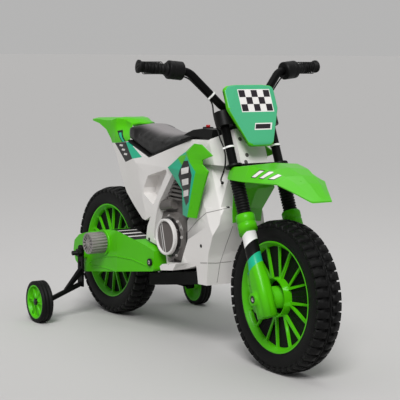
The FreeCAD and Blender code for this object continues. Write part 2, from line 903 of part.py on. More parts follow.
HEAD_FOOT = "(lower_clamp_foot + lower_clamp_height + head_bush_height)"
HEAD_TOP = f"({HEAD_FOOT} + head_tube_length)"
UPPER_FOOT = f"({HEAD_TOP} + head_bush_height)"
UPPER_TOP = f"({UPPER_FOOT} + upper_clamp_height)"


def clamp(name, foot, height):
    """A fork clamp: a waisted bridge between two rings, bored for the tubes and the stem."""
    body = new_body(name)
    bridge = [
        ("-clamp_rear", "-clamp_waist"),
        ("-clamp_ring_radius * 0.6", "-fork_spread"),
        ("clamp_front", "-fork_spread"),
        ("clamp_front", "fork_spread"),
        ("-clamp_ring_radius * 0.6", "fork_spread"),
        ("-clamp_rear", "clamp_waist"),
    ]
    pad(body, name + "_bridge", sketch(body, name + "_outline", "XY_Plane", [bridge], lift=foot), height)
    rings = [("0", f"{side}fork_spread", "clamp_ring_radius") for side in ("-", "")]
    pad(body, name + "_rings", sketch(body, name + "_ring_outline", "XY_Plane", (), rings, foot), height)
    bores = [("0", f"{side}fork_spread", "tube_radius + running_gap") for side in ("-", "")]
    bores.append(("-stem_setback", "0", "stem_radius + running_gap"))
    drawing = sketch(body, name + "_bores", "XY_Plane", (), bores, foot)
    pocket(body, name + "_bored", drawing, height, backwards=True)
    return on_fork(body)


def build_head():
    """Clamps, stem and head bushes."""
    node(clamp("lower_clamp", "lower_clamp_foot", "lower_clamp_height"), "lower_clamp")
    node(clamp("upper_clamp", UPPER_FOOT, "upper_clamp_height"), "upper_clamp")
    stem = new_body("stem")
    section = [
        ("0", "lower_clamp_foot - stem_flange_height"),
        ("stem_flange_radius", "lower_clamp_foot - stem_flange_height"),
        ("stem_flange_radius", "lower_clamp_foot"),
        ("stem_radius", "lower_clamp_foot"),
        ("stem_radius", f"{UPPER_TOP} - clearance"),
        ("0", f"{UPPER_TOP} - clearance"),
    ]
    revolved(stem, "stem_turned", sketch(stem, "stem_section", "XZ_Plane", [section]))
    set_on_stem(stem)
    node(stem, "steering_stem")
    bushes = []
    for name, foot in (("lower", "lower_clamp_foot + lower_clamp_height"), ("upper", HEAD_TOP)):
        bush = new_body(name + "_bush")
        rings = [("0", "0", "head_bush_radius"), ("0", "0", "stem_radius + running_gap")]
        drawing = sketch(bush, name + "_bush_rings", "XY_Plane", (), rings, foot)
        pad(bush, name + "_bush_pad", drawing, "head_bush_height")
        bushes.append(set_on_stem(bush))
    node(group("head_bushes", *bushes), "head_bushes")


def set_on_stem(item):
    """Puts an object that is drawn round the steering axis in place."""
    on_fork(item)
    return place(
        item,
        "wheelbase / 2 + fork_lead - cos(rake) * stem_setback",
        "0",
        "tyre_radius - sin(rake) * stem_setback",
    )


# Handlebar, controls and cables

def bar_points():
    """The right half of the handlebar's centre line in the fork frame, from the middle to the tip."""
    level = number(UPPER_TOP) + S.bar_lift
    knee_half = S.bar_half - S.grip_length - S.clearance - S.housing_length - S.bar_knee_gap
    return [
        V(-S.bar_setback, 0, level),
        V(-S.bar_setback, -S.bar_flat_half, level),
        V(-S.bar_knee_setback, -knee_half, level + S.bar_rise),
        V(-S.bar_tip_setback, -S.bar_half, level + S.bar_rise + S.bar_tip_rise),
    ]


def bar_end_frame():
    """The frame of the right bar end: its foot at the tip, z inwards along the bar."""
    knee, tip = bar_points()[2:]
    local = FreeCAD.Placement(tip, FreeCAD.Rotation(V(0, 0, 1), knee - tip))
    return fork_frame().multiply(local)


def build_handlebar():
    """The bent bar and the two clamps that hold it."""
    half = bar_points()
    tip_share = 2 * S.grip_cap / (half[3] - half[2]).Length
    half[3] = half[3] + (half[2] - half[3]) * tip_share
    left = [V(point.x, -point.y, point.z) for point in half[:0:-1]]
    path = bent_path(left + half[1:], S.bar_bend_radius)
    node(on_fork(solid("handlebar", tube(path, S.bar_radius))), "handlebar")

    middle = f"({UPPER_TOP} + bar_lift)"
    body = new_body("bar_clamp")
    block = [
        ("-bar_setback - bar_clamp_depth / 2", UPPER_TOP),
        ("-bar_setback + bar_clamp_depth / 2", UPPER_TOP),
        ("-bar_setback + bar_clamp_depth / 2", f"{middle} + bar_clamp_cap * 0.5"),
        ("-bar_setback + bar_clamp_depth / 4", f"{middle} + bar_clamp_cap"),
        ("-bar_setback - bar_clamp_depth / 4", f"{middle} + bar_clamp_cap"),
        ("-bar_setback - bar_clamp_depth / 2", f"{middle} + bar_clamp_cap * 0.5"),
    ]
    bore = [("-bar_setback", middle, "bar_radius + running_gap")]
    lift = "bar_clamp_spread - bar_clamp_width / 2"
    drawing = sketch(body, "bar_clamp_outline", "XZ_Plane", [block], bore, lift)
    pad(body, "bar_clamp_block", drawing, "bar_clamp_width")
    on_fork(body)
    node(group("bar_clamps", body, mirrored(body, "bar_clamp_left")), "bar_clamps")


def grip_profile():
    """The grip's section: closed end, ring grooves and a flange towards the housing."""
    outline = [("0", "0"), ("grip_flange_radius", "0"), ("grip_flange_radius", "grip_flange_width")]
    groove_count = 7
    pitch = "((grip_length - 3 * grip_flange_width) / 7)"
    for step in range(groove_count):
        start = f"1.5 * grip_flange_width + {step} * {pitch}"
        outline += [
            ("grip_radius", start),
            ("grip_radius", f"{start} + {pitch} * 0.7"),
            ("grip_radius - grip_groove", f"{start} + {pitch} * 0.78"),
            ("grip_radius - grip_groove", f"{start} + {pitch} * 0.92"),
        ]
    outline += [
        ("grip_radius", "grip_length - 1.5 * grip_flange_width"),
        ("grip_flange_radius", "grip_length - grip_flange_width"),
        ("grip_flange_radius", "grip_length"),
        ("bar_radius + running_gap", "grip_length"),
        ("bar_radius + running_gap", "grip_cap"),
        ("0", "grip_cap"),
    ]
    return outline


def build_controls():
    """Grips, housings and the horn button at the bar ends."""
    grip = new_body("grip")
    revolved(grip, "grip_turned", sketch(grip, "grip_section", "XZ_Plane", [grip_profile()]))
    grip.Placement = bar_end_frame()
    node(grip, "throttle_grip")
    node(mirrored(grip, "grip_left"), "left_grip")

    housing = new_body("housing")
    foot = "(grip_length + clearance)"
    seam_floor = "housing_radius - housing_chamfer / 4"
    section = [
        ("bar_radius + running_gap", foot),
        ("housing_radius - housing_chamfer", foot),
        ("housing_radius", f"{foot} + housing_chamfer"),
        ("housing_radius", f"{foot} + housing_length * 0.3"),
        (seam_floor, f"{foot} + housing_length * 0.32"),
        (seam_floor, f"{foot} + housing_length * 0.36"),
        ("housing_radius", f"{foot} + housing_length * 0.38"),
        ("housing_radius", f"{foot} + housing_length - housing_chamfer"),
        ("housing_radius - housing_chamfer", f"{foot} + housing_length"),
        ("bar_radius + running_gap", f"{foot} + housing_length"),
    ]
    revolved(housing, "housing_turned", sketch(housing, "housing_section", "XZ_Plane", [section]))
    housing.Placement = bar_end_frame()
    node(housing, "throttle_housing")

    middle = bar_end_frame().multVec(V(0, 0, number(foot) + S.housing_length / 2))
    middle.y = -middle.y
    seat = middle + horn_heading() * (S.housing_radius - S.horn_depth)
    brink = seat + horn_heading() * S.housing_radius
    well = solid("horn_well", along(seat, brink, S.horn_radius + S.clearance))
    twin = mirrored(housing, "housing_left")
    node(cut("switch_housing", twin, well), "switch_housing")
    floor = seat + horn_heading() * (S.horn_travel + S.clearance)
    top = middle + horn_heading() * (S.housing_radius + S.horn_height)
    button = along(floor, top, S.horn_radius)
    rims = [edge for edge in button.Edges if edge.Closed]
    crown = min(rims, key=lambda edge: edge.CenterOfMass.distanceToPoint(top))
    node(solid("horn_button", button.makeFillet(S.horn_radius / 4, [crown])), "horn_button")


def horn_heading():
    """The way the horn button faces: back towards the rider, square to the fork."""
    return fork_frame().Rotation.multVec(V(-1, 0, 0))


# The right cable's route in the fork frame. Beside the bar: how far up its rising run, and how far out
CABLE_BAR_SHARES = ((0.948, 1.50), (0.808, 1.333), (0.4755, 1.233), (0.270, 1.233))
# Beside the tube: how far back and out in clamp radii, and how far down between the clamps
CABLE_TUBE_SHARES = (
    (-0.789, -0.947, -0.0325),
    (-0.789, -0.974, 0.1463),
    (-0.679, -0.916, 0.3089),
    (-0.447, -0.737, 0.4878),
    (-0.332, -0.584, 0.6179),
    (-0.332, -0.584, 0.7154),
)
# From the tie to the body: how far along, and how far out and down it sags for its span
CABLE_SAG_SHARES = (
    (0.132, -0.0040, -0.0268),
    (0.361, -0.0090, -0.0316),
    (0.604, -0.0124, -0.0260),
    (0.833, -0.0094, -0.0128),
)
CABLE_EXIT_SHARE = 0.63
CABLE_MOUTH_SHARE = 0.539


def cable_points():
    """The route in the fork frame from the housing, along the bar and down the tube to the lower tie."""
    flat, knee, tip = bar_points()[1:]
    inwards = (knee - tip).normalize()
    below = inwards.cross(V(1, 0, 0)).normalize()
    mouth = tip + inwards * (S.grip_length + 2 * S.clearance + S.housing_length)
    points = [mouth + below * (CABLE_EXIT_SHARE * S.housing_radius)]
    rise = knee - flat
    out = V(1, 0, 0).cross(rise).normalize()
    points += [flat + rise * up + out * (away * S.bar_radius) for up, away in CABLE_BAR_SHARES]
    top = number(UPPER_TOP)
    drop = top - S.lower_clamp_foot - S.lower_clamp_height
    beside = V(0, -S.fork_spread, top)
    for back, away, fall in CABLE_TUBE_SHARES:
        points.append(beside + V(back * S.clamp_ring_radius, away * S.clamp_ring_radius, -fall * drop))
    return points


def nose_mouth():
    """Where the right cable meets the nose of the body, and the way out of it, in the fork frame."""
    (x, y), (next_x, next_y) = nose_plan()[:2]
    run = V(next_x - x, y - next_y, 0)
    out = V(-run.y, run.x, 0).normalize()
    level = S.lower_clamp_foot - S.ferrule_length
    return V(x, -y, level) + run * CABLE_MOUTH_SHARE + out * (S.ferrule_length / 6), out


def loop_points():
    """The loop's route: it carries on in the cable's own direction, a hair below the lower tie."""
    before, last = cable_points()[-2:]
    heading = (last - before).normalize()
    first = last + heading * S.clearance
    mouth, out = nose_mouth()
    start = first + heading * S.ferrule_length
    end = mouth + out * (S.ferrule_length * 1.58)
    points = [first, start]
    for share, away, fall in CABLE_SAG_SHARES:
        points.append(start + (end - start) * share + V(0, away, fall) * S.cable_span)
    return points + [end, mouth]


def ferrule_ends():
    """The ends of the right ferrule in the bike's frame, outside and inside the shell."""
    mouth, out = nose_mouth()
    first = mouth - out * S.clearance
    return [fork_frame().multVec(spot) for spot in (first, first - out * S.ferrule_length)]


def build_cables():
    """Both handlebar cables, their ties and the ferrules at the body."""
    route = cable_points()
    top = tube(bent_path(route, name="cable"), S.cable_radius, "cable")
    loop = tube(bent_path(loop_points(), name="cable loop"), S.cable_radius, "cable loop")
    cable = on_fork(solid("cable", top))
    node(group("handlebar_cables", cable, mirrored(cable, "cable_left")), "handlebar_cables")
    slack = on_fork(solid("cable_slack", loop))
    node(group("cable_loops", slack, mirrored(slack, "cable_slack_left")), "cable_loops")

    hold = (route[-1] + route[-2]) * 0.5
    low = tie_shape(V(0, -S.fork_spread, hold.z), V(0, 0, 1), S.tube_radius, hold)
    knee, flat = bar_points()[2], bar_points()[1]
    heading = (knee - flat).normalize()
    hold = (route[3] + route[4]) * 0.5
    spot = flat + heading * (hold - flat).dot(heading)
    high = tie_shape(spot, heading, S.bar_radius, hold)
    ties = [on_fork(solid(name, shape)) for name, shape in (("tie_low", low), ("tie_high", high))]
    twins = [mirrored(tie, tie.Name + "_left") for tie in ties]
    node(group("cable_ties", *ties, *twins), "cable_ties")

    ferrule = solid("ferrule", along(*ferrule_ends(), S.ferrule_radius))
    node(group("cable_ferrules", ferrule, mirrored(ferrule, "ferrule_left")), "cable_ferrules")


def tie_shape(centre, heading, bar, cable):
    """A flat tie round a bar and the cable beside it."""
    offset = (cable - centre) - heading * (cable - centre).dot(heading)
    hoop_radius = S.cable_radius + 2 * S.clearance
    start = centre - heading * (S.tie_width / 2)
    run = heading * S.tie_width

    def ring(middle, radius):
        return Part.makeCylinder(radius, S.tie_width, middle, run)

    gap = bar + S.clearance / 2
    outer = ring(start, gap + S.tie_wall).fuse(ring(start + offset, hoop_radius + S.tie_wall))
    return outer.cut(ring(start, gap)).cut(ring(start + offset, hoop_radius))


# Number plate and front fender

def build_number_plate():
    """The number plate: a deep rounded shield with two bosses that reach back to the upper clamp."""
    body = new_body("number_plate")
    corners = [
        ("-plate_half_width", "plate_top"),
        ("-plate_half_width * 0.55", "plate_top + plate_arch"),
        ("plate_half_width * 0.55", "plate_top + plate_arch"),
        ("plate_half_width", "plate_top"),
        ("plate_half_width", "plate_widest"),
        ("plate_foot_half_width", "plate_foot"),
        ("-plate_foot_half_width", "plate_foot"),
        ("-plate_half_width", "plate_widest"),
    ]
    back = "plate_front - plate_thickness"
    drawing = sketch(body, "shield_outline", "YZ_Plane", [corners], lift=back)
    shield = pad(body, "shield", drawing, "plate_thickness")
    rounded = round_corners(body, "shield_rounded", shield, "x", corners, "plate_corner")
    rim_edges(body, "shield_rim", rounded, "x", "plate_front", "plate_chamfer")
    level = f"{UPPER_FOOT} + upper_clamp_height / 2"
    spots = [(f"{side}plate_boss_spread", level, "plate_boss_radius") for side in ("-", "")]
    drawing = sketch(body, "boss_outline", "YZ_Plane", (), spots, "clamp_front")
    body.Tip = pad(body, "bosses", drawing, f"{back} - clamp_front")
    node(on_fork(body), "number_plate")


# Each station: how far forward, half-width of edge and shoulder, fall of ridge, shoulder and edge
FENDER_STATION_SHARES = (
    (0.000, 0.85, 0.80, 0.310, 0.325, 0.50),
    (0.045, 0.95, 0.87, 0.232, 0.262, 0.59),
    (0.115, 0.99, 0.88, 0.110, 0.160, 0.59),
    (0.310, 1.00, 0.78, 0.000, 0.070, 0.58),
    (0.535, 0.95, 0.61, 0.090, 0.160, 0.545),
    (0.700, 0.79, 0.45, 0.280, 0.335, 0.52),
    (0.810, 0.605, 0.37, 0.490, 0.540, 0.70),
    (0.980, 0.34, 0.19, 0.955, 0.970, 0.98),
    (1.000, 0.305, 0.16, 1.000, 1.000, 1.00),
)
# Each station: how far down, how near the foot's width, how far back
APRON_STATION_SHARES = (
    (0.00, 0.72, 0.01),
    (0.18, 0.72, 0.08),
    (0.40, 0.00, 0.25),
    (0.76, 0.89, 0.84),
    (1.00, 1.00, 1.00),
)


def build_front_fender():
    """The fender: a folded sheet over the wheel, wrapped round the fork, with an apron behind the tyre."""
    sections = []
    for ahead, edge, shoulder, ridge_fall, shoulder_fall, edge_fall in FENDER_STATION_SHARES:
        x = S.fender_rear + ahead * S.fender_length
        outer = [
            (edge * S.fender_half_width, S.fender_crown - edge_fall * S.fender_fall),
            (shoulder * S.fender_half_width, S.fender_crown - shoulder_fall * S.fender_fall),
            (0, S.fender_crown - ridge_fall * S.fender_fall),
        ]
        sections.append(sheet_section(outer, S.fender_wall, x))
    sheet = loft(sections)

    panels = []
    for fall, spread, setback in APRON_STATION_SHARES:
        level = S.apron_top + (S.apron_foot - S.apron_top) * fall
        half = S.apron_half_width + (S.apron_foot_half_width - S.apron_half_width) * spread
        x = -setback * S.apron_setback
        fold = S.apron_setback / 8
        row = [(x - fold, -half), (x, 0), (x - fold, half)]
        back = [(spot - S.apron_wall, y) for spot, y in row[::-1]]
        panels.append([from_fork(spot, y, level) for spot, y in row + back])
    apron = loft(panels)

    top = number(HEAD_TOP)
    holes = []
    for side in (-1, 1):
        foot = from_fork(0, side * S.fork_spread, S.collar_top)
        holes.append(along(foot, from_fork(0, side * S.fork_spread, top), S.tube_radius + S.clearance))
    notch_front = S.clamp_front + S.clearance
    notch_half = S.fork_spread + S.clamp_ring_radius + S.clearance
    notch_rear = -S.wheelbase / 4
    corners = [(notch_rear, -notch_half), (notch_front, -notch_half)]
    corners += [(x, -y) for x, y in corners[::-1]]
    notch = plan_prism(corners, S.lower_clamp_foot - S.clearance, top)
    stem_foot = from_fork(-S.stem_setback, 0, S.lower_clamp_foot - S.stem_flange_height - S.clearance)
    stem_top = from_fork(-S.stem_setback, 0, top)
    stem_room = along(stem_foot, stem_top, S.stem_flange_radius + S.clearance)
    shape = sheet.fuse(apron).cut(holes + [notch, stem_room])
    node(solid("front_fender", shape), "front_fender")


# Body shell

# Points along the shell's outline from the tail forwards under the seat
SEAT_LINE_SHARES = ((-0.409, 0.871), (-0.280, 0.890), (-0.134, 0.830), (0.115, 0.940))
# Points from the nose down, back along the belly and up behind the engine to the tail
BELLY_SHARES = (
    (0.2685, 0.663),
    (0.2780, 0.655),
    (0.2760, 0.588),
    (0.232, 0.455),
    (0.211, 0.308),
    (0.161, 0.304),
    (0.158, 0.385),
    (0.082, 0.353),
    (-0.022, 0.347),
    (-0.0246, 0.420),
    (-0.082, 0.434),
    (-0.147, 0.450),
    (-0.134, 0.513),
    (-0.109, 0.563),
    (-0.145, 0.538),
    (-0.172, 0.541),
    (-0.241, 0.593),
    (-0.299, 0.647),
    (-0.341, 0.724),
    (-0.377, 0.819),
)
REAR_RECESS_SHARES = (
    (-0.157, 0.665),
    (-0.154, 0.691),
    (-0.129, 0.749),
    (-0.017, 0.792),
    (-0.010, 0.780),
    (-0.088, 0.626),
    (-0.098, 0.620),
)
ENGINE_RECESS_SHARES = (
    (0.017, 0.763),
    (0.060, 0.815),
    (0.136, 0.809),
    (0.153, 0.636),
    (0.117, 0.580),
    (0.115, 0.495),
    (0.065, 0.374),
    (-0.014, 0.366),
    (-0.018, 0.436),
    (-0.072, 0.446),
    (-0.096, 0.460),
    (-0.084, 0.530),
    (-0.067, 0.600),
    (-0.055, 0.638),
)
# Half-widths across the fork: behind the tubes, below the waist and round the steering head
NOSE_PLAN_SHARES = ((0.0, 0.375), (0.05, 0.78), (0.12, 1.0), (0.62, 1.0), (0.75, 0.86), (1.0, 0.66))
CHIN_PLAN_SHARES = ((0.0, 0.40), (0.05, 0.80), (0.115, 1.0), (0.62, 1.0), (0.75, 0.86), (1.0, 0.66))
HEAD_PLAN_SHARES = ((0.0, 0.88), (0.12, 1.0), (0.20, 1.22), (0.27, 1.45), (0.45, 1.62), (1.0, 1.62))
FRONT_TAPER_SHARES = ((0.29, 0.84), (0.42, 0.93), (0.58, 1.0), (0.80, 1.0), (0.90, 0.90), (1.02, 0.70))
LEDGE_SHARES = ((0.012, 0.339), (0.085, 0.354), (0.106, 0.388), (0.026, 0.373), (0.006, 0.356))
# Heights of the steps below the steering head and at the waist
HEAD_SHELF_SHARE = 0.842
WAIST_SHARE = 0.655


def spread_points(shares):
    """Side-view points from shares of the wheelbase and the body's height."""
    return [(x * S.wheelbase, z * S.body_height) for x, z in shares]


def fork_side(x, z):
    """Where a point of the fork frame lies in side view."""
    spot = from_fork(x, 0, z)
    return (spot.x, spot.z)


def half_plan(stations):
    """A plan outline for the right half from stations of half-width, closed along the middle."""
    return [(stations[0][0], 0)] + [(x, -y) for x, y in stations] + [(stations[-1][0], 0)]


def nose_plan(shares=NOSE_PLAN_SHARES):
    """Stations of the body's plan across the fork: how far back and how wide."""
    reach = S.wheelbase * 0.7
    return [(-S.nose_setback - x * reach, y * S.body_half_width) for x, y in shares]


def slab(low, high):
    """All room between two heights."""
    far = 2 * S.body_half_width
    return front_prism([(-far, low), (far, low), (far, high), (-far, high)], -S.wheelbase, S.wheelbase)


def shell_solid(wall):
    """The right half of the body moved inwards by a wall, as a block without its recesses."""
    head_low = number(HEAD_FOOT) + S.head_gap
    head_high = number(HEAD_TOP) - S.head_gap
    seat_line = spread_points(SEAT_LINE_SHARES)
    head = [
        fork_side(-S.nose_setback - 2 * S.overrun, head_high),
        fork_side(-S.head_front, head_high),
        fork_side(-S.head_front, head_low),
        fork_side(-S.nose_setback, head_low),
    ]
    outline = seat_line + head + spread_points(BELLY_SHARES)
    reach = S.wheelbase * 0.35
    crown = [(-S.head_front - x * reach, y * S.head_half_width) for x, y in HEAD_PLAN_SHARES]
    taper = [(y * S.body_half_width, z * S.body_height) for z, y in FRONT_TAPER_SHARES]
    plans = (nose_plan(), nose_plan(CHIN_PLAN_SHARES), crown)
    plans = [[(x - wall, y - wall) for x, y in plan] for plan in plans]
    taper = [(y - wall, z) for y, z in taper]
    if wall:
        outline = inset(outline, wall)
    far = 2 * S.body_half_width
    tall = 2 * S.body_height
    side = side_prism(outline, 0, far)
    nose, chin, head_block = (half_plan(plan) for plan in plans)
    middle = plan_prism(nose, -S.body_height, tall)
    low = plan_prism(chin, -S.body_height, tall)
    low = low.common(slab(-S.body_height, WAIST_SHARE * S.body_height - wall))
    high = plan_prism(head_block, head_low + wall, tall)
    high = high.common(slab(HEAD_SHELF_SHARE * S.body_height + wall, tall))
    section = [(0, taper[0][1])] + [(-y, z) for y, z in taper] + [(0, taper[-1][1])]
    front = front_prism(section, -S.wheelbase, S.wheelbase)
    return side.common(middle.fuse([low, high])).common(front)


def recess_floor():
    """How far from the middle the recess floors lie: the battery fits between them."""
    return S.battery_width / 2 + S.clearance + S.shell_wall


def build_body_shell():
    """The two shell halves: hollow, with the engine and side recesses, head bores and foot ledges."""
    outer = shell_solid(0)
    hollow = shell_solid(S.shell_wall)
    far = 2 * S.body_half_width
    recesses = []
    for shares in (REAR_RECESS_SHARES, ENGINE_RECESS_SHARES):
        outline = spread_points(shares)
        recesses.append(side_prism(outline, recess_floor(), far))
        lining = side_prism(inset(outline, -S.shell_wall), recess_floor() - S.shell_wall, far)
        hollow = hollow.cut(lining)
    ledge = side_prism(spread_points(LEDGE_SHARES), recess_floor(), S.ledge_reach)
    head_foot = from_fork(-S.stem_setback, 0, number(HEAD_FOOT) - S.overrun)
    head_top = from_fork(-S.stem_setback, 0, number(HEAD_TOP) + S.overrun)
    head_bore = along(head_foot, head_top, S.head_tube_radius + S.clearance)
    tube_start, tube_end = down_tube_ends()
    passage = along(tube_start, tube_end, S.down_tube_radius + S.clearance)
    socket_start, socket_end = charge_ends()
    socket = along(socket_start, socket_end, S.charge_radius - S.charge_flange + S.clearance)
    eyelet = along(*ferrule_ends(), S.ferrule_radius + S.running_gap)
    shape = outer.cut(hollow).fuse(ledge).cut(recesses + [head_bore, passage, eyelet])
    right = solid("body_shell", shape)
    node(right, "right_body_shell")
    twin = mirrored(right, "body_shell_left")
    node(cut("left_body_shell", twin, solid("charge_hole", socket)), "left_body_shell")


# Engine dummy

def build_engines():
    """The engine dummies: a stepped cover with cooling fins, a cylinder barrel and a bright clutch ring."""
    outline = inset(spread_points(ENGINE_RECESS_SHARES), S.engine_gap)
    floor = recess_floor()
    face = floor + S.engine_height
    plate = side_prism(outline, floor, floor + S.engine_height / 2)
    raised = side_prism(spread_points(CRANKCASE_SHARES), floor, face)
    fins = []
    fin_x, fin_z = spread_points([FIN_CENTRE_SHARE])[0]
    for index in range(int(S.fin_count)):
        low = fin_z + index * S.fin_pitch
        half = S.ring_radius * (0.9 - 0.04 * index)
        lean = index * S.fin_pitch * math.tan(math.radians(S.rake))
        middle = fin_x + lean
        high = low + S.fin_width
        corners = [(middle - half, low), (middle + half, low), (middle + half, high), (middle - half, high)]
        fins.append(side_prism(corners, floor, face + S.fin_height / 2))
    barrel_x, barrel_z = spread_points([BARREL_CENTRE_SHARE])[0]
    barrel = along(
        V(barrel_x - S.ring_radius / 2, -face, barrel_z),
        V(barrel_x + S.ring_radius, -face, barrel_z + S.ring_radius / 4),
        S.barrel_radius,
    )
    keep = side_prism(outline, floor, S.body_half_width + S.fin_height)
    ring_x, ring_z = spread_points([RING_CENTRE_SHARE])[0]
    case_radius = S.ring_radius * CASE_SHARE
    case_face = S.body_half_width - S.ring_wall
    case = along(V(ring_x, -floor, ring_z), V(ring_x, -case_face, ring_z), case_radius)
    brow = [edge for edge in case.Edges if edge.Closed and abs(edge.CenterOfMass.y + case_face) < S.clearance]
    case = case.makeChamfer(S.ring_wall / 2, brow)
    bolts = []
    for index in range(int(S.case_bolt_count)):
        angle = 2 * math.pi * (index + 0.5) / int(S.case_bolt_count)
        spread = (S.ring_radius + case_radius) / 2
        x, z = ring_x + spread * math.cos(angle), ring_z + spread * math.sin(angle)
        bolts.append(along(V(x, -floor, z), V(x, -case_face - S.case_bolt_radius / 2, z), S.case_bolt_radius))
    shape = plate.fuse([raised, barrel, case] + bolts + fins).common(keep)
    seat = S.ring_radius - S.ring_wall - S.clearance
    brink = S.body_half_width + S.clearance
    root = along(V(ring_x, -floor, ring_z), V(ring_x, -brink, ring_z), seat).common(keep)
    disc = along(V(ring_x, -brink, ring_z), V(ring_x, -brink - S.ring_height / 2, ring_z), S.ring_radius)
    lip = along(V(ring_x, -brink, ring_z), V(ring_x, -brink - S.ring_height, ring_z), S.ring_radius)
    lip = lip.cut(along(V(ring_x, -brink, ring_z), V(ring_x, -brink - S.ring_height, ring_z), seat))
    shape = shape.fuse([root, disc.cut(lip)]).removeSplitter()
    right = solid("engine_cover", shape)
    node(right, "right_engine_cover")
    node(mirrored(right, "engine_cover_left"), "left_engine_cover")

    start, end = V(ring_x, -brink, ring_z), V(ring_x, -brink - S.ring_height, ring_z)
    band = along(start, end, S.ring_radius).cut(along(start, end, S.ring_radius - S.ring_wall))
    crown = [edge for edge in band.Edges if abs(edge.CenterOfMass.y - end.y) < S.clearance and edge.Closed]
    ring = solid("clutch_ring", band.makeChamfer(S.ring_wall / 4, crown))
    node(group("clutch_rings", ring, mirrored(ring, "clutch_ring_left")), "clutch_rings")


CRANKCASE_SHARES = (
    (-0.062, 0.592),
    (0.020, 0.600),
    (0.075, 0.578),
    (0.104, 0.520),
    (0.100, 0.450),
    (0.055, 0.385),
    (-0.006, 0.385),
    (-0.010, 0.448),
    (-0.078, 0.465),
    (-0.093, 0.500),
)
CASE_SHARE = 1.2
FIN_CENTRE_SHARE = (0.016, 0.655)
BARREL_CENTRE_SHARE = (-0.050, 0.618)
RING_CENTRE_SHARE = (0.0, 0.487)


# Shrouds

# Each level: height, then how far forward and out the rear, fold and front edges lie
SHROUD_LEVEL_SHARES = (
    (0.605, 0.100, 0.80, 0.157, 0.955, 0.192, 0.875),
    (0.715, 0.094, 0.80, 0.179, 0.990, 0.229, 0.917),
    (0.761, 0.049, 0.80, 0.190, 0.995, 0.247, 0.930),
    (0.805, 0.006, 0.80, 0.199, 1.000, 0.264, 0.940),
    (0.819, 0.026, 0.80, 0.194, 0.990, 0.268, 0.935),
    (0.846, 0.060, 0.81, 0.172, 0.970, 0.230, 0.925),
    (0.864, 0.082, 0.82, 0.163, 0.955, 0.230, 0.915),
    (0.888, 0.122, 0.84, 0.150, 0.930, 0.284, 0.905),
    (0.929, 0.173, 0.86, 0.182, 0.890, 0.214, 0.870),
)


def build_shrouds():
    """The side shrouds: a folded panel with a wing towards the seat and a hooked front edge."""
    sections = []
    for level, *spots in SHROUD_LEVEL_SHARES:
        z = level * S.body_height
        pairs = list(zip(spots[::2], spots[1::2]))
        outer = [(x * S.wheelbase, -y * S.shroud_half_width) for x, y in pairs]
        inner = [(x, y + S.shroud_wall) for x, y in outer[::-1]]
        sections.append([V(x, y, z) for x, y in outer + inner])
    panel = loft(sections)
    spots = spread_points(SHROUD_BOSS_SHARES)
    bosses = []
    for x, z in spots:
        start = V(x, -S.body_half_width, z)
        bosses.append(along(start, V(x, -S.shroud_half_width * 0.955, z), S.plate_boss_radius))
    right = solid("shroud", panel.fuse(bosses))
    node(right, "right_shroud")
    node(mirrored(right, "shroud_left"), "left_shroud")


SHROUD_BOSS_SHARES = ((0.172, 0.660), (0.165, 0.800))


# Seat, console and rear fender

# Stations along the cushion: how far along, shoulder height, half-width
SEAT_STATION_SHARES = (
    (-0.277, 0.955, 0.90),
    (-0.250, 0.966, 0.97),
    (-0.190, 0.952, 1.00),
    (-0.134, 0.938, 1.00),
    (-0.060, 0.934, 0.98),
    (0.000, 0.940, 0.92),
    (0.036, 0.945, 0.84),
)
SEAT_BASE_SHARES = ((-0.277, 0.893), (-0.134, 0.832), (0.115, 0.942))


def level_on(points, x):
    """The height of an open line at a point along it."""
    for (start, low), (end, high) in zip(points, points[1:]):
        if start <= x <= end:
            return low + (high - low) * (x - start) / (end - start)
    return points[-1][1]


def build_seat():
    """The cushion with a crown and drawn-in sides, and the black base under it."""
    line = spread_points(SEAT_BASE_SHARES)
    sections = []
    for along_share, shoulder_share, width_share in SEAT_STATION_SHARES:
        x = along_share * S.wheelbase
        base = level_on(line, x) + S.seat_base_wall + S.clearance
        shoulder = shoulder_share * S.body_height
        half = width_share * S.seat_half_width
        tuck = half - S.seat_tuck
        crown = V(x, 0, shoulder + S.seat_crown)
        top = Part.Arc(V(x, half, shoulder), crown, V(x, -half, shoulder)).toShape()
        waist = (base + shoulder) / 2
        sides = []
        for sign in (-1, 1):
            bulge = V(x, sign * (half - S.seat_tuck / 4), waist)
            sides.append(Part.Arc(V(x, sign * half, shoulder), bulge, V(x, sign * tuck, base)).toShape())
        floor = Part.LineSegment(V(x, -tuck, base), V(x, tuck, base)).toShape()
        sections.append(Part.Wire(Part.sortEdges([top, sides[0], floor, sides[1]])[0]))
    node(solid("seat_cushion", Part.makeLoft(sections, True, True)), "seat_cushion")

    band = [(x, z + S.seat_base_wall) for x, z in line[::-1]]
    half = side_prism(line + band, -S.seat_base_half_width, S.seat_base_half_width)
    node(solid("seat_base", half), "seat_base")


CONSOLE_SHARES = ((0.042, 0.944), (0.062, 0.966), (0.090, 0.980), (0.140, 0.990))


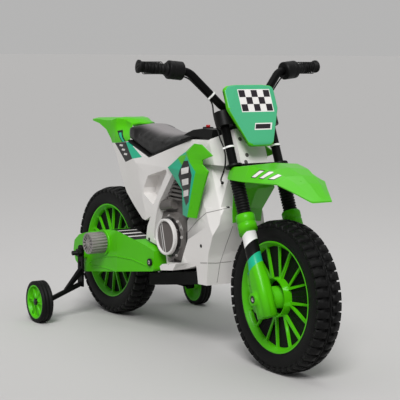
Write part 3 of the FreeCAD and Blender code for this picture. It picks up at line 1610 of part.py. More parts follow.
def build_console():
    """The console over the tank with its button bezel and power button."""
    rear = spread_points(CONSOLE_SHARES)
    low = spread_points(SEAT_BASE_SHARES)[-1]
    seat_top = low[1] + S.seat_base_wall
    head_high = number(HEAD_TOP) - S.head_gap
    front_top = fork_side(-S.nose_setback - S.overrun, head_high + S.body_height * 0.045)
    front_foot = fork_side(-S.nose_setback - 2 * S.overrun, head_high + S.clearance)
    outline = [
        (rear[0][0], seat_top + S.clearance),
        rear[1],
        rear[2],
        rear[3],
        front_top,
        front_foot,
        (low[0] + S.clearance, spread_points(SEAT_LINE_SHARES)[-1][1] + 2 * S.clearance),
        (low[0] + S.clearance, seat_top + S.clearance),
    ]
    block = side_prism(outline, -S.console_half_width, S.console_half_width)
    brink = seat_top + S.console_chamfer / 4
    narrow = S.console_half_width - S.console_chamfer
    half = [(S.console_half_width, 0), (S.console_half_width, brink), (narrow, brink + 3 * S.console_chamfer)]
    roof = front_prism(half + [(-y, z) for y, z in half[::-1]], 0, S.wheelbase)
    bezel_x = bezel_place()
    start = V(bezel_x, 0, level_on(rear, bezel_x) - S.bezel_height)
    well = along(start, start + V(0, 0, 4 * S.button_height), S.bezel_radius + S.clearance)
    node(solid("console", block.common(roof).cut(well)), "console")

    bezel = along(start, start + V(0, 0, 2 * S.bezel_height + S.console_chamfer / 2), S.bezel_radius)
    floor = start + V(0, 0, S.bezel_height)
    room = along(floor, start + V(0, 0, 4 * S.button_height), S.button_radius + S.clearance)
    node(solid("button_bezel", bezel.cut(room)), "button_bezel")
    seat = floor + V(0, 0, S.button_travel + S.clearance)
    knob = along(seat, seat + V(0, 0, S.button_height + S.console_chamfer / 2), S.button_radius)
    rim = [edge for edge in knob.Edges if edge.Closed and edge.CenterOfMass.z > seat.z + S.button_height]
    node(solid("power_button", knob.makeFillet(S.button_radius / 4, rim)), "power_button")


def bezel_place():
    """Where along the bike the power button stands."""
    return spread_points(CONSOLE_SHARES)[1][0] + S.bezel_radius


# Each station: how far back, top half-width, top height, skirt half-width, skirt foot
TAIL_STATION_SHARES = (
    (-0.281, 0.94, 0.980, 1.00, 0.896),
    (-0.330, 0.92, 0.996, 0.99, 0.884),
    (-0.389, 0.86, 1.000, 0.92, 0.875),
    (-0.420, 0.80, 0.993, 0.84, 0.872),
    (-0.433, 0.78, 0.988, 0.81, 0.890),
    (-0.475, 0.74, 0.984, 0.76, 0.932),
    (-0.530, 0.72, 0.985, 0.73, 0.958),
    (-0.590, 0.66, 0.982, 0.67, 0.968),
)


def build_rear_fender():
    """The rear fender: a hollow ducktail behind the seat with flared skirts."""
    sections = []
    for along_share, top_share, height_share, skirt_share, foot_share in TAIL_STATION_SHARES:
        x = along_share * S.wheelbase
        top = height_share * S.body_height
        foot = foot_share * S.body_height
        crown = S.tail_wall
        outer = [
            (skirt_share * S.tail_half_width, foot),
            (top_share * S.tail_half_width, top - crown),
            (top_share * S.tail_half_width * 0.6, top),
        ]
        sections.append(sheet_section(outer, S.tail_wall, x))
    node(solid("rear_fender", loft(sections)), "rear_fender")


# Swing arms and drive

ARM_SHARES = (
    (-0.603, 0.982),
    (-0.593, 1.139),
    (-0.550, 1.253),
    (-0.462, 1.349),
    (-0.314, 1.464),
    (-0.266, 1.464),
    (-0.098, 1.337),
    (-0.056, 1.285),
    (-0.056, 0.992),
    (-0.514, 0.687),
    (-0.584, 0.819),
)


def arm_blank(name):
    """A swing arm before its bores: a padded outline that narrows towards the pivot and the tail."""
    body = new_body(name)
    outline = shared(ARM_SHARES, "wheelbase", "tyre_radius")
    drawing = sketch(body, name + "_outline", "XZ_Plane", [outline], lift="arm_inner")
    block = pad(body, name + "_block", drawing, "arm_outer - arm_inner")
    corners = [outline[index] for index in (0, 1, 2, 3, 8, 9, 10)]
    round_corners(body, name + "_rounded", block, "y", corners, "arm_corner")
    wedges = [
        [
            ("-wheelbase * 0.27", "-arm_outer"),
            ("0", "-arm_front_outer + (arm_outer - arm_front_outer) * 0.15"),
            ("0", "-arm_outer - overrun"),
            ("-wheelbase * 0.27", "-arm_outer - overrun"),
        ],
        [
            ("-wheelbase * 0.52", "-arm_outer"),
            ("-wheelbase * 0.52", "-arm_outer - overrun"),
            ("-wheelbase * 0.65", "-arm_outer - overrun"),
            ("-wheelbase * 0.65", "-arm_outer + (arm_outer - arm_inner) * 0.14"),
        ],
    ]
    drawing = sketch(body, name + "_taper", "XY_Plane", wedges)
    taper = pocket(body, name + "_tapered", drawing, "4 * tyre_radius")
    taper.SideType = "Symmetric"
    body.Tip = taper
    return body


def gearbox_shape(grow):
    """The gearbox outline between the motor and the axle, grown by a clearance."""
    depth = S.gearbox_depth + grow
    start = S.arm_inner + S.clearance
    near = start if not grow else S.arm_inner - S.overrun
    motor = V(S.motor_x, 0, S.motor_height)
    axle = V(-S.wheelbase / 2, 0, S.tyre_radius)
    radius = S.gearbox_radius + grow
    ends = [along(spot - V(0, near, 0), spot - V(0, start + depth, 0), radius) for spot in (motor, axle)]
    run = (axle - motor).normalize()
    out = V(-run.z, 0, run.x) * radius
    corners = [motor + out, axle + out, axle - out, motor - out]
    web = side_prism([(spot.x, spot.z) for spot in corners], near, start + depth)
    return ends[0].fuse([ends[1], web]).removeSplitter()


def build_swing_arms():
    """Both swing arms with their pivot bolts; the right one holds the gearbox and the motor."""
    root = "-arm_outer + overrun"
    span = "2 * arm_outer"
    axle_boss = rod("arm_axle_boss", "dog_radius", "bracket_inner - arm_outer + overrun", REAR, root, AXLE)
    blank = fused("arm_blank", arm_blank("arm"), axle_boss)
    rise = "motor_boss_height + overrun"
    boss = rod("motor_boss", "motor_boss_radius", rise, "motor_x", root, "motor_height")
    axle_bore = rod("arm_axle_bore", "axle_radius + clearance", span, REAR, "0", AXLE)
    bolt_room = "pivot_bolt_radius + clearance"
    bolt_bore = rod("arm_bolt_bore", bolt_room, span, "pivot_x", "0", "pivot_height")
    motor_bore = rod("motor_bore", "motor_radius + clearance", span, "motor_x", "0", "motor_height")
    gear_room = solid("gear_room", gearbox_shape(S.clearance))
    whole = fused("arm_with_boss", blank, boss)
    node(cut("right_arm", whole, axle_bore, bolt_bore, motor_bore, gear_room), "right_swing_arm")
    left_bores = [mirrored(axle_bore, "arm_axle_bore_left"), mirrored(bolt_bore, "arm_bolt_bore_left")]
    node(cut("left_arm", mirrored(blank, "arm_left"), *left_bores), "left_swing_arm")

    inner_end = f"pivot_bolt_length - {PIVOT_FACE}"
    shank = rod("pivot_shank", "pivot_bolt_radius", "pivot_bolt_length", "pivot_x", inner_end, "pivot_height")
    cap = rod("pivot_cap", "pivot_bolt_head", "pivot_bolt_cap", "pivot_x", f"-{PIVOT_FACE}", "pivot_height")
    bolt = fused("pivot_bolt", shank, cap)
    node(group("swing_arm_bolts", bolt, mirrored(bolt, "pivot_bolt_left")), "swing_arm_bolts")


# Where the arm's tapered outer face lies beside the pivot
ARM_FALL = "(arm_outer - arm_front_outer) * 1.15 * (pivot_x - pivot_bolt_head + wheelbase * 0.27)"
PIVOT_FACE = f"(arm_outer + clearance - {ARM_FALL} / (wheelbase * 0.27))"


def build_drive():
    """The fluted motor cap with its vents, the motor and the gearbox."""
    cap = new_body("motor_cap")
    start = "arm_outer + motor_boss_height"
    drawing = sketch(cap, "cap_outline", "XZ_Plane", (), [("0", "0", "motor_cap_radius")], start)
    pad(cap, "cap_block", drawing, "motor_cap_length")
    room = [("0", "0", "motor_cap_radius - motor_cap_wall - flute_radius")]
    hole = sketch(cap, "cap_room", "XZ_Plane", (), room, start)
    pocket(cap, "cap_hollow", hole, "motor_cap_length - motor_cap_wall", backwards=True)
    groove = [("motor_cap_radius + flute_radius * 0.4", "0", "flute_radius")]
    flute = sketch(cap, "flute_outline", "XZ_Plane", (), groove, start)
    flutes = pocket(cap, "flute", flute, "motor_cap_length", backwards=True)
    DOC.recompute()
    polar(cap, "flutes", flutes, "Y_Axis", "flute_count")
    slot = [
        ("motor_cap_radius * 0.35", "-vent_width / 2"),
        ("motor_cap_radius * 0.82", "-vent_width / 2"),
        ("motor_cap_radius * 0.82", "vent_width / 2"),
        ("motor_cap_radius * 0.35", "vent_width / 2"),
    ]
    drawing = sketch(cap, "vent_outline", "XZ_Plane", [slot], lift=f"{start} + motor_cap_length - vent_depth")
    vent = pocket(cap, "vent", drawing, "vent_depth", backwards=True)
    DOC.recompute()
    polar(cap, "vents", vent, "Y_Axis", "vent_count")
    place(cap, "motor_x", "0", "motor_height")
    node(cap, "motor_cap")
    foot = "arm_inner + clearance * 2 + gearbox_depth"
    motor = rod("motor", "motor_radius", "motor_length", "motor_x", f"-({foot})", "motor_height")
    node(motor, "drive_motor")
    axle = V(-S.wheelbase / 2, 0, S.tyre_radius)
    start = axle - V(0, S.wheel_hub_half_width + S.clearance, 0)
    dog = along(start, axle - V(0, S.arm_inner + S.gearbox_depth / 2, 0), S.dog_radius)
    bore = along(axle, axle - V(0, S.arm_outer, 0), S.axle_radius + S.clearance)
    node(solid("gearbox", gearbox_shape(0).fuse(dog).cut(bore)), "gearbox")


# Frame

def rail_level(x):
    """The middle height of the sloping rails as an expression."""
    return f"(rail_centre + rail_slope * ({x}))"


def rail_outline(rear, front):
    """Four corners of a sloping rail in side view."""
    return [
        (rear, f"{rail_level(rear)} - rail_height / 2"),
        (front, f"{rail_level(front)} - rail_height / 2"),
        (front, f"{rail_level(front)} + rail_height / 2"),
        (rear, f"{rail_level(rear)} + rail_height / 2"),
    ]


def down_tube_ends():
    """The ends of the down tube: on the front cross member and at the head tube."""
    foot = V(S.down_tube_foot, 0, number(rail_level("down_tube_foot")))
    behind = S.stem_setback + S.head_tube_radius * 0.7
    top = from_fork(-behind, 0, number(HEAD_FOOT) + S.head_tube_length * 0.45)
    return foot, top


def build_frame():
    """The steel frame: two sloping rails, cross members, pivot tube, down tube and head tube."""
    rails = new_body("rails")
    outline = rail_outline("rail_rear", "rail_front")
    pad(rails, "rail", sketch(rails, "rail_outline", "XZ_Plane", [outline], lift="rail_inner"), "rail_width")
    left = mirrored(rails, "rail_left")
    crosses = []
    for name, rear, front in (
        ("front_cross", "rail_front - cross_depth", "rail_front"),
        ("rear_cross", "pivot_x - cross_depth / 2", "pivot_x + cross_depth / 2"),
    ):
        cross = new_body(name)
        outline = rail_outline(rear, front)
        drawing = sketch(cross, name + "_outline", "XZ_Plane", [outline], lift="-rail_inner")
        pad(cross, name + "_pad", drawing, "2 * rail_inner")
        crosses.append(cross)
    post = box(
        "pivot_post",
        ("pivot_x - pivot_radius", "pivot_x + pivot_radius"),
        ("-arm_inner + clearance", "arm_inner - clearance"),
        (rail_level("pivot_x"), "pivot_height"),
    )
    side = "(arm_inner - clearance)"
    pivot = rod("pivot_tube", "pivot_radius", f"2 * {side}", "pivot_x", side, "pivot_height")
    start, end = down_tube_ends()
    down = solid("down_tube", along(start, end, S.down_tube_radius))
    head = add("Part::Cylinder", "head_tube", Radius="head_tube_radius", Height="head_tube_length")
    stand_on_stem(head, HEAD_FOOT)
    bore = add("Part::Cylinder", "head_bore", Radius="stem_radius + running_gap", Height="head_tube_length")
    stand_on_stem(bore, HEAD_FOOT)
    bolt_room = "pivot_bolt_radius + clearance"
    bolt_bore = rod("pivot_bore", bolt_room, "2 * arm_inner", "pivot_x", "arm_inner", "pivot_height")
    whole = fused("frame_whole", rails, left, *crosses, post, pivot, down, head)
    node(cut("frame", whole, bore, bolt_bore), "chassis_frame")


def stand_on_stem(item, level):
    """Puts a bar on the steering axis with its foot at a level of the fork frame."""
    on_fork(item)
    return place(
        item,
        f"wheelbase / 2 + fork_lead - cos(rake) * stem_setback - sin(rake) * {level}",
        "0",
        f"tyre_radius - sin(rake) * stem_setback + cos(rake) * {level}",
    )


# Stabilisers

def build_stabilisers():
    """Brackets, bolts, hubs and tyres of the training wheels."""
    plate = new_body("bracket_plate")
    outline = [
        (f"{REAR} - bracket_half_width", "bracket_foot"),
        (f"{REAR} + bracket_half_width", "bracket_foot"),
        (f"{REAR} + bracket_half_width", "tyre_radius + 2 * bracket_half_width - bracket_half_width / 2"),
        (f"{REAR} - bracket_half_width", "tyre_radius + 2 * bracket_half_width - bracket_half_width / 2"),
    ]
    slots = []
    for low, high in (("0.62", "0.72"), ("0.78", "0.86")):
        slots.append(
            [
                (f"{REAR} - slot_half_width", f"tyre_radius * {low}"),
                (f"{REAR} + slot_half_width", f"tyre_radius * {low}"),
                (f"{REAR} + slot_half_width", f"tyre_radius * {high}"),
                (f"{REAR} - slot_half_width", f"tyre_radius * {high}"),
            ]
        )
    hole = [(REAR, AXLE, "axle_radius + clearance")]
    drawing = sketch(plate, "bracket_outline", "XZ_Plane", [outline] + slots, hole, "bracket_inner")
    block = pad(plate, "bracket_pad", drawing, "plate_steel")
    round_corners(plate, "bracket_rounded", block, "y", outline[2:], "bracket_half_width * 0.9")
    DOC.recompute()

    eye_reach = S.training_outer - S.training_width - S.clearance
    eye = V(-S.wheelbase / 2 + S.training_lead, -eye_reach, S.training_radius)
    eye_back = eye + V(0, S.training_width * 0.6, 0)
    elbow = V(-S.wheelbase / 2, -(S.bracket_inner + S.plate_steel / 2), S.bracket_foot + S.arm_bar_radius)
    bar = along(elbow, eye_back - V(0, S.training_width * 0.25, 0), S.arm_bar_radius)
    knuckle = Part.makeSphere(S.arm_bar_radius, elbow)
    boss = along(eye_back, eye, S.training_boss_radius * 0.8)
    high = V(elbow.x, elbow.y, S.tyre_radius * 0.72)
    low = elbow + (eye - elbow) * 0.45
    ends = []
    for spot, share in ((high, 1.0), (low, 0.6)):
        half, thick = share * S.brace_width / 2, share * S.brace_depth
        corners = ((-half, -thick), (half, -thick), (half, thick), (-half, thick))
        ends.append([spot + V(x, 0, z) for x, z in corners])
    brace = loft(ends)
    hole_start, hole_end = eye_back + V(0, 2 * S.overrun, 0), eye - V(0, S.overrun, 0)
    bolt_hole = solid("bracket_eye", along(hole_start, hole_end, S.training_bolt_radius + S.running_gap))
    arm = solid("bracket_arm", bar.fuse([knuckle, boss, brace]))
    bracket = cut("bracket", fused("bracket_whole", plate, arm), bolt_hole)
    node(bracket, "right_stabiliser_bracket")
    node(mirrored(bracket, "bracket_left"), "left_stabiliser_bracket")

    hub_x, hub_z = f"{REAR} + training_lead", "training_radius"
    face = "(training_outer - training_dish / 2)"
    root = "(training_outer - training_width * 1.5)"
    shank = rod("training_shank", "training_bolt_radius", f"{face} - {root}", hub_x, f"-{root}", hub_z)
    cap = rod("training_cap", "training_bolt_head", "training_bolt_cap", hub_x, f"-{face}", hub_z)
    bolt = fused("training_bolt", shank, cap)
    node(group("stabiliser_bolts", bolt, mirrored(bolt, "training_bolt_left")), "stabiliser_bolts")

    inner = "(training_outer - training_width)"
    hub = new_body("training_hub")
    section = [
        ("training_bolt_radius + running_gap", f"-{inner}"),
        ("training_boss_radius", f"-{inner}"),
        ("training_boss_radius", f"-({inner} + training_width * 0.35)"),
        ("training_hub_radius - groove_width", f"-({inner} + training_width * 0.35)"),
        ("training_hub_radius - groove_width", f"-{inner}"),
        ("training_hub_radius", f"-{inner}"),
        ("training_hub_radius", "-training_outer"),
        ("training_hub_radius - groove_width", "-training_outer"),
        ("training_hub_radius - groove_width * 2", "-(training_outer - training_dish)"),
        ("training_boss_radius", "-(training_outer - training_dish)"),
        ("training_boss_radius", f"-({face} - clearance)"),
        ("training_bolt_radius + running_gap", f"-({face} - clearance)"),
    ]
    revolved(hub, "training_hub_turned", sketch(hub, "training_hub_section", "XY_Plane", [section]))
    paddle = [
        ("training_boss_radius * 0.9", "-training_paddle_width / 4"),
        ("training_hub_radius - groove_width * 1.5", "-training_paddle_width / 2"),
        ("training_hub_radius - groove_width * 1.5", "training_paddle_width / 2"),
        ("training_boss_radius * 0.9", "training_paddle_width / 4"),
    ]
    drawing = sketch(hub, "paddle_outline", "XZ_Plane", [paddle], lift="training_outer - training_dish")
    blade = pad(hub, "paddle", drawing, "training_dish * 0.6")
    polar(hub, "paddles", blade, "Y_Axis", "training_paddle_count")
    place(hub, hub_x, "0", hub_z)
    node(hub, "right_training_hub")
    node(mirrored(hub, "training_hub_left"), "left_training_hub")

    tyre = new_body("training_tyre")
    crest, floor = "training_radius", "(training_radius - groove_depth)"
    section = [("training_hub_radius", f"-{inner}"), (floor, f"-{inner}")]
    for share in (0.0, 0.37, 0.69):
        start = f"{inner} + training_width * {share} + groove_width * {0.35 if share == 0.0 else 0.5}"
        end = f"{inner} + training_width * {share + 0.31} - groove_width * {0.35 if share > 0.6 else 0.1}"
        section += [
            (floor, f"-({start} - groove_width * 0.3)"),
            (crest, f"-({start})"),
            (crest, f"-({end})"),
            (floor, f"-({end} + groove_width * 0.3)"),
        ]
    section += [(floor, "-training_outer"), ("training_hub_radius", "-training_outer")]
    revolved(tyre, "training_tyre_turned", sketch(tyre, "training_tyre_section", "XY_Plane", [section]))
    place(tyre, hub_x, "0", hub_z)
    node(tyre, "right_training_tyre")
    node(mirrored(tyre, "training_tyre_left"), "left_training_tyre")


# Electrics

BATTERY_CENTRE_SHARE = (-0.116, 0.708)
CONTROL_CENTRE_SHARE = (0.030, 0.660)
CHARGE_CENTRE_SHARE = (-0.190, 0.794)


def charge_ends():
    """The axis of the charging socket through the left shell, from inside to outside."""
    x, z = spread_points([CHARGE_CENTRE_SHARE])[0]
    return V(x, S.body_half_width / 2, z), V(x, S.body_half_width * 2, z)


def build_electrics():
    """Battery and control unit between the recess floors."""
    for name, centre, length, height in (
        ("battery", BATTERY_CENTRE_SHARE, "battery_length", "battery_height"),
        ("control_unit", CONTROL_CENTRE_SHARE, "control_length", "control_height"),
    ):
        x, z = (f"({share}) * {size}" for share, size in zip(centre, ("wheelbase", "body_height")))
        block = box(
            name,
            (f"{x} - {length} / 2", f"{x} + {length} / 2"),
            ("-battery_width / 2", "battery_width / 2"),
            (f"{z} - {height} / 2", f"{z} + {height} / 2"),
        )
        node(block, name)
    x, z = spread_points([CHARGE_CENTRE_SHARE])[0]
    face = V(x, S.body_half_width, z)
    flange = along(face, face + V(0, S.charge_flange, 0), S.charge_radius)
    barrel = along(face - V(0, S.charge_depth, 0), face, S.charge_radius - S.charge_flange)
    bore = along(face - V(0, S.charge_depth - S.charge_flange, 0), face + V(0, S.overrun, 0), S.charge_bore)
    node(solid("charging_socket", flange.fuse(barrel).removeSplitter().cut(bore)), "charging_socket")


def export():
    """Checks every object and writes each piece's solids."""
    DOC.recompute()
    for item in DOC.Objects:
        faults = {"Invalid", "Error"} & set(item.State)
        if faults:
            raise RuntimeError(f"{item.Label}: {faults}")
    faulty = []
    for item in NODES:
        shape = item.Shape
        if shape.isNull() or not shape.isValid() or not shape.Solids:
            faulty.append(item.Label)
    if faulty:
        raise RuntimeError(f"no valid shape: {faulty}")
    os.makedirs("parts", exist_ok=True)
    for item in NODES:
        item.Shape.exportStep(f"parts/{item.Label}.step")


build_wheel()
build_rims()
build_axles()
build_fork()
build_head()
build_handlebar()
build_controls()
build_cables()
build_number_plate()
build_front_fender()
build_body_shell()
build_engines()
build_shrouds()
build_seat()
build_console()
build_rear_fender()
build_swing_arms()
build_drive()
build_frame()
build_stabilisers()
build_electrics()
export()
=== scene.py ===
import json
import logging
import math
from collections.abc import Callable
from dataclasses import dataclass, field, replace
from enum import Enum

import bmesh
import bpy
from mathutils import Matrix, Vector
from mathutils.bvhtree import BVHTree


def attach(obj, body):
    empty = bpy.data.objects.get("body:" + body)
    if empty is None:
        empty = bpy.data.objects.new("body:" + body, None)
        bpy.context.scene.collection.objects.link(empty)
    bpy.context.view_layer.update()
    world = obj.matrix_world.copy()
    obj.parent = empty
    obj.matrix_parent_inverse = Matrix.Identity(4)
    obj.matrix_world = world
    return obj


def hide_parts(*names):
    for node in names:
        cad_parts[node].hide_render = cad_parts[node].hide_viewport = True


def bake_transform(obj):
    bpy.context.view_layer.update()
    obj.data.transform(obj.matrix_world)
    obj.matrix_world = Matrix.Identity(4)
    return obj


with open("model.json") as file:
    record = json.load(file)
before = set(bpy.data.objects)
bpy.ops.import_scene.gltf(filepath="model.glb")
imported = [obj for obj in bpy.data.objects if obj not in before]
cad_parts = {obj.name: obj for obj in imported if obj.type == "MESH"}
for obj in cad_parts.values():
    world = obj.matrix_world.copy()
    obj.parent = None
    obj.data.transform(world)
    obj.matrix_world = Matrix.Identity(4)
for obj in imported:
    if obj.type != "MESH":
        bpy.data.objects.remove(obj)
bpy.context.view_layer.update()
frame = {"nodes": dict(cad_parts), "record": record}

LOG = logging.getLogger("motorbike")
MM = 0.001
Triple = tuple[float, float, float]
Pair = tuple[float, float]
Outline = tuple[Pair, ...]
Spots = list[tuple[Vector, Vector]]
Mesh = bpy.types.Mesh
Node = bpy.types.Node
NodeTree = bpy.types.NodeTree
Object = bpy.types.Object
Socket = bpy.types.NodeSocket


class Kind(Enum):
    """The families of finish that the bike has."""

    PLASTIC = "plastic"
    METALLIC = "metallic"
    RUBBER = "rubber"
    VINYL = "vinyl"


class Side(Enum):
    """The two sides of the bike, by the sign of their sideways axis."""

    RIGHT = -1
    LEFT = 1

    @property
    def label(self) -> str:
        """The side's name as nodes and pieces spell it."""
        return self.name.lower()

    @property
    def outward(self) -> Triple:
        """The direction that faces away from the bike on this side."""
        return (0.0, float(self.value), 0.0)


# Node tools

def add_node(tree: NodeTree, kind: str, feeds: dict[str | int, object], **settings: object) -> Node:
    """Adds a node with its inputs linked or set.

    Args:
        tree: The tree that it goes in.
        kind: The node's type.
        feeds: A socket or a value for each input.
        **settings: Values of the node's own properties.

    Returns:
        The node.
    """
    made = tree.nodes.new(kind)
    for key, value in settings.items():
        setattr(made, key, value)
    for key, value in feeds.items():
        if isinstance(value, Socket):
            tree.links.new(value, made.inputs[key])
        else:
            made.inputs[key].default_value = value
    return made


def maths(tree: NodeTree, operation: str, *feeds: Socket | float, clamp: bool = False) -> Socket:
    """Adds a step of reckoning and gives its result, between zero and one if it is clamped."""
    made = add_node(tree, "ShaderNodeMath", dict(enumerate(feeds)), operation=operation, use_clamp=clamp)
    return made.outputs[0]


def along(tree: NodeTree, source: Socket, way: Vector) -> Socket:
    """Adds the measure of a vector along a direction."""
    made = add_node(tree, "ShaderNodeVectorMath", {0: source, 1: way}, operation="DOT_PRODUCT")
    return made.outputs["Value"]


# Printed shapes, and painted shade and highlights

@dataclass(frozen=True)
class Axes:
    """A flat drawing frame: its zero point in millimetres and its two directions, in the row frame."""

    origin: Triple
    across: Triple
    up: Triple

    def point(self, place: Pair) -> Vector:
        """Gives a point drawn in millimetres as a place in metres."""
        return Vector(self.origin) * MM + self.direction(place) * MM

    def direction(self, way: Pair) -> Vector:
        """Gives a drawn direction in the row frame."""
        return Vector(self.across) * way[0] + Vector(self.up) * way[1]


EYE = (2.6061, -1.6644, 0.7090)
FORK_ZERO = (377.5, 0.0, 166.0)
FORK_AHEAD = (0.9157, 0.0, 0.402)
FORK_UP = (-0.402, 0.0, 0.9157)
UPWARD = (0.0, 0.0, 1.0)
FRONT_AXLE = (366.5, 166.0)
SIDE_VIEW = Axes((0.0, 0.0, 0.0), (1.0, 0.0, 0.0), (0.0, 0.0, 1.0))
PLATE_VIEW = Axes(FORK_ZERO, (0.0, 1.0, 0.0), FORK_UP)


def slanted(left: float, low: float, wide: float, tall: float, lean: float = 0.0) -> Outline:
    """Draws a bar from its corner in millimetres, with its other end moved across by the lean."""
    right = left + wide
    return ((left, low), (right, low), (right + lean, low + tall), (left + lean, low + tall))


@dataclass(frozen=True)
class Decal:
    """A painted shape with straight edges or a disc, a print or painted shade or highlight, laid on wherever
    its prism meets the surface.
    """

    colour: Triple
    axes: Axes
    outline: Outline = ()
    facing: Triple | None = None
    cut: float = 0.7
    radius: float = 0.0
    centre: Pair = (0.0, 0.0)
    edge: float = 0.0004
    facing_edge: float = 0.04

    def mask(self, tree: NodeTree, place: Node) -> Socket:
        """Adds the nodes that tell where the shape is.

        Args:
            tree: The material's node tree.
            place: The node that gives the coordinates.

        Returns:
            A value of one inside the shape and zero outside it.
        """
        spot = place.outputs["Object"]
        parts = [self._half(tree, spot, normal, offset, self.edge) for normal, offset in self._sides()]
        if self.radius > 0.0:
            parts.append(self._disc(tree, spot))
        if self.facing is not None:
            normal = place.outputs["Normal"]
            parts.append(self._half(tree, normal, Vector(self.facing), self.cut, self.facing_edge))
        result = parts[0]
        for other in parts[1:]:
            result = maths(tree, "MINIMUM", result, other)
        return result

    def _sides(self) -> list[tuple[Vector, float]]:
        """Lists the planes of the prism.

        Returns:
            An inward normal and an offset in metres for each edge of the outline.
        """
        found = []
        if not self.outline:
            return found
        middle = sum((Vector(p) for p in self.outline), Vector((0.0, 0.0))) / len(self.outline)
        for start, end in zip(self.outline, self.outline[1:] + self.outline[:1]):
            run = Vector(end) - Vector(start)
            inward = Vector((-run.y, run.x)).normalized()
            if inward.dot(middle - Vector(start)) < 0.0:
                inward.negate()
            normal = self.axes.direction((inward.x, inward.y))
            found.append((normal, normal.dot(self.axes.point(start))))
        return found

    def _disc(self, tree: NodeTree, source: Socket) -> Socket:
        """Adds the test for the inside of a round shape.

        Args:
            tree: The material's node tree.
            source: The point that is tested.

        Returns:
            A value of one inside the circle.
        """
        squares = []
        middle = self.axes.point(self.centre)
        for way in (Vector(self.axes.across), Vector(self.axes.up)):
            apart = maths(tree, "SUBTRACT", along(tree, source, way), way.dot(middle))
            squares.append(maths(tree, "MULTIPLY", apart, apart))
        far = maths(tree, "SQRT", maths(tree, "ADD", *squares))
        start = 0.5 + self.radius * MM / self.edge
        return maths(tree, "MULTIPLY_ADD", far, -1.0 / self.edge, start, clamp=True)

    @staticmethod
    def _half(tree: NodeTree, source: Socket, normal: Vector, offset: float, edge: float) -> Socket:
        """Adds the test for one side of a plane.

        Args:
            tree: The material's node tree.
            source: The vector that is tested.
            normal: The plane's inward normal.
            offset: Where the plane is along the normal.
            edge: The width of the step.

        Returns:
            A value of one on the inner side.
        """
        far = along(tree, source, normal)
        return maths(tree, "MULTIPLY_ADD", far, 1.0 / edge, 0.5 - offset / edge, clamp=True)


Shapes = list[tuple[Triple, Outline]]


def printed(shapes: Shapes, axes: Axes, facing: Triple, cut: float) -> tuple[Decal, ...]:
    """Turns coloured outlines, the lowest first, into prints or painted shade on the faces that look one way.
    """
    return tuple(Decal(colour, axes, outline, facing=facing, cut=cut) for colour, outline in shapes)


# Finishes

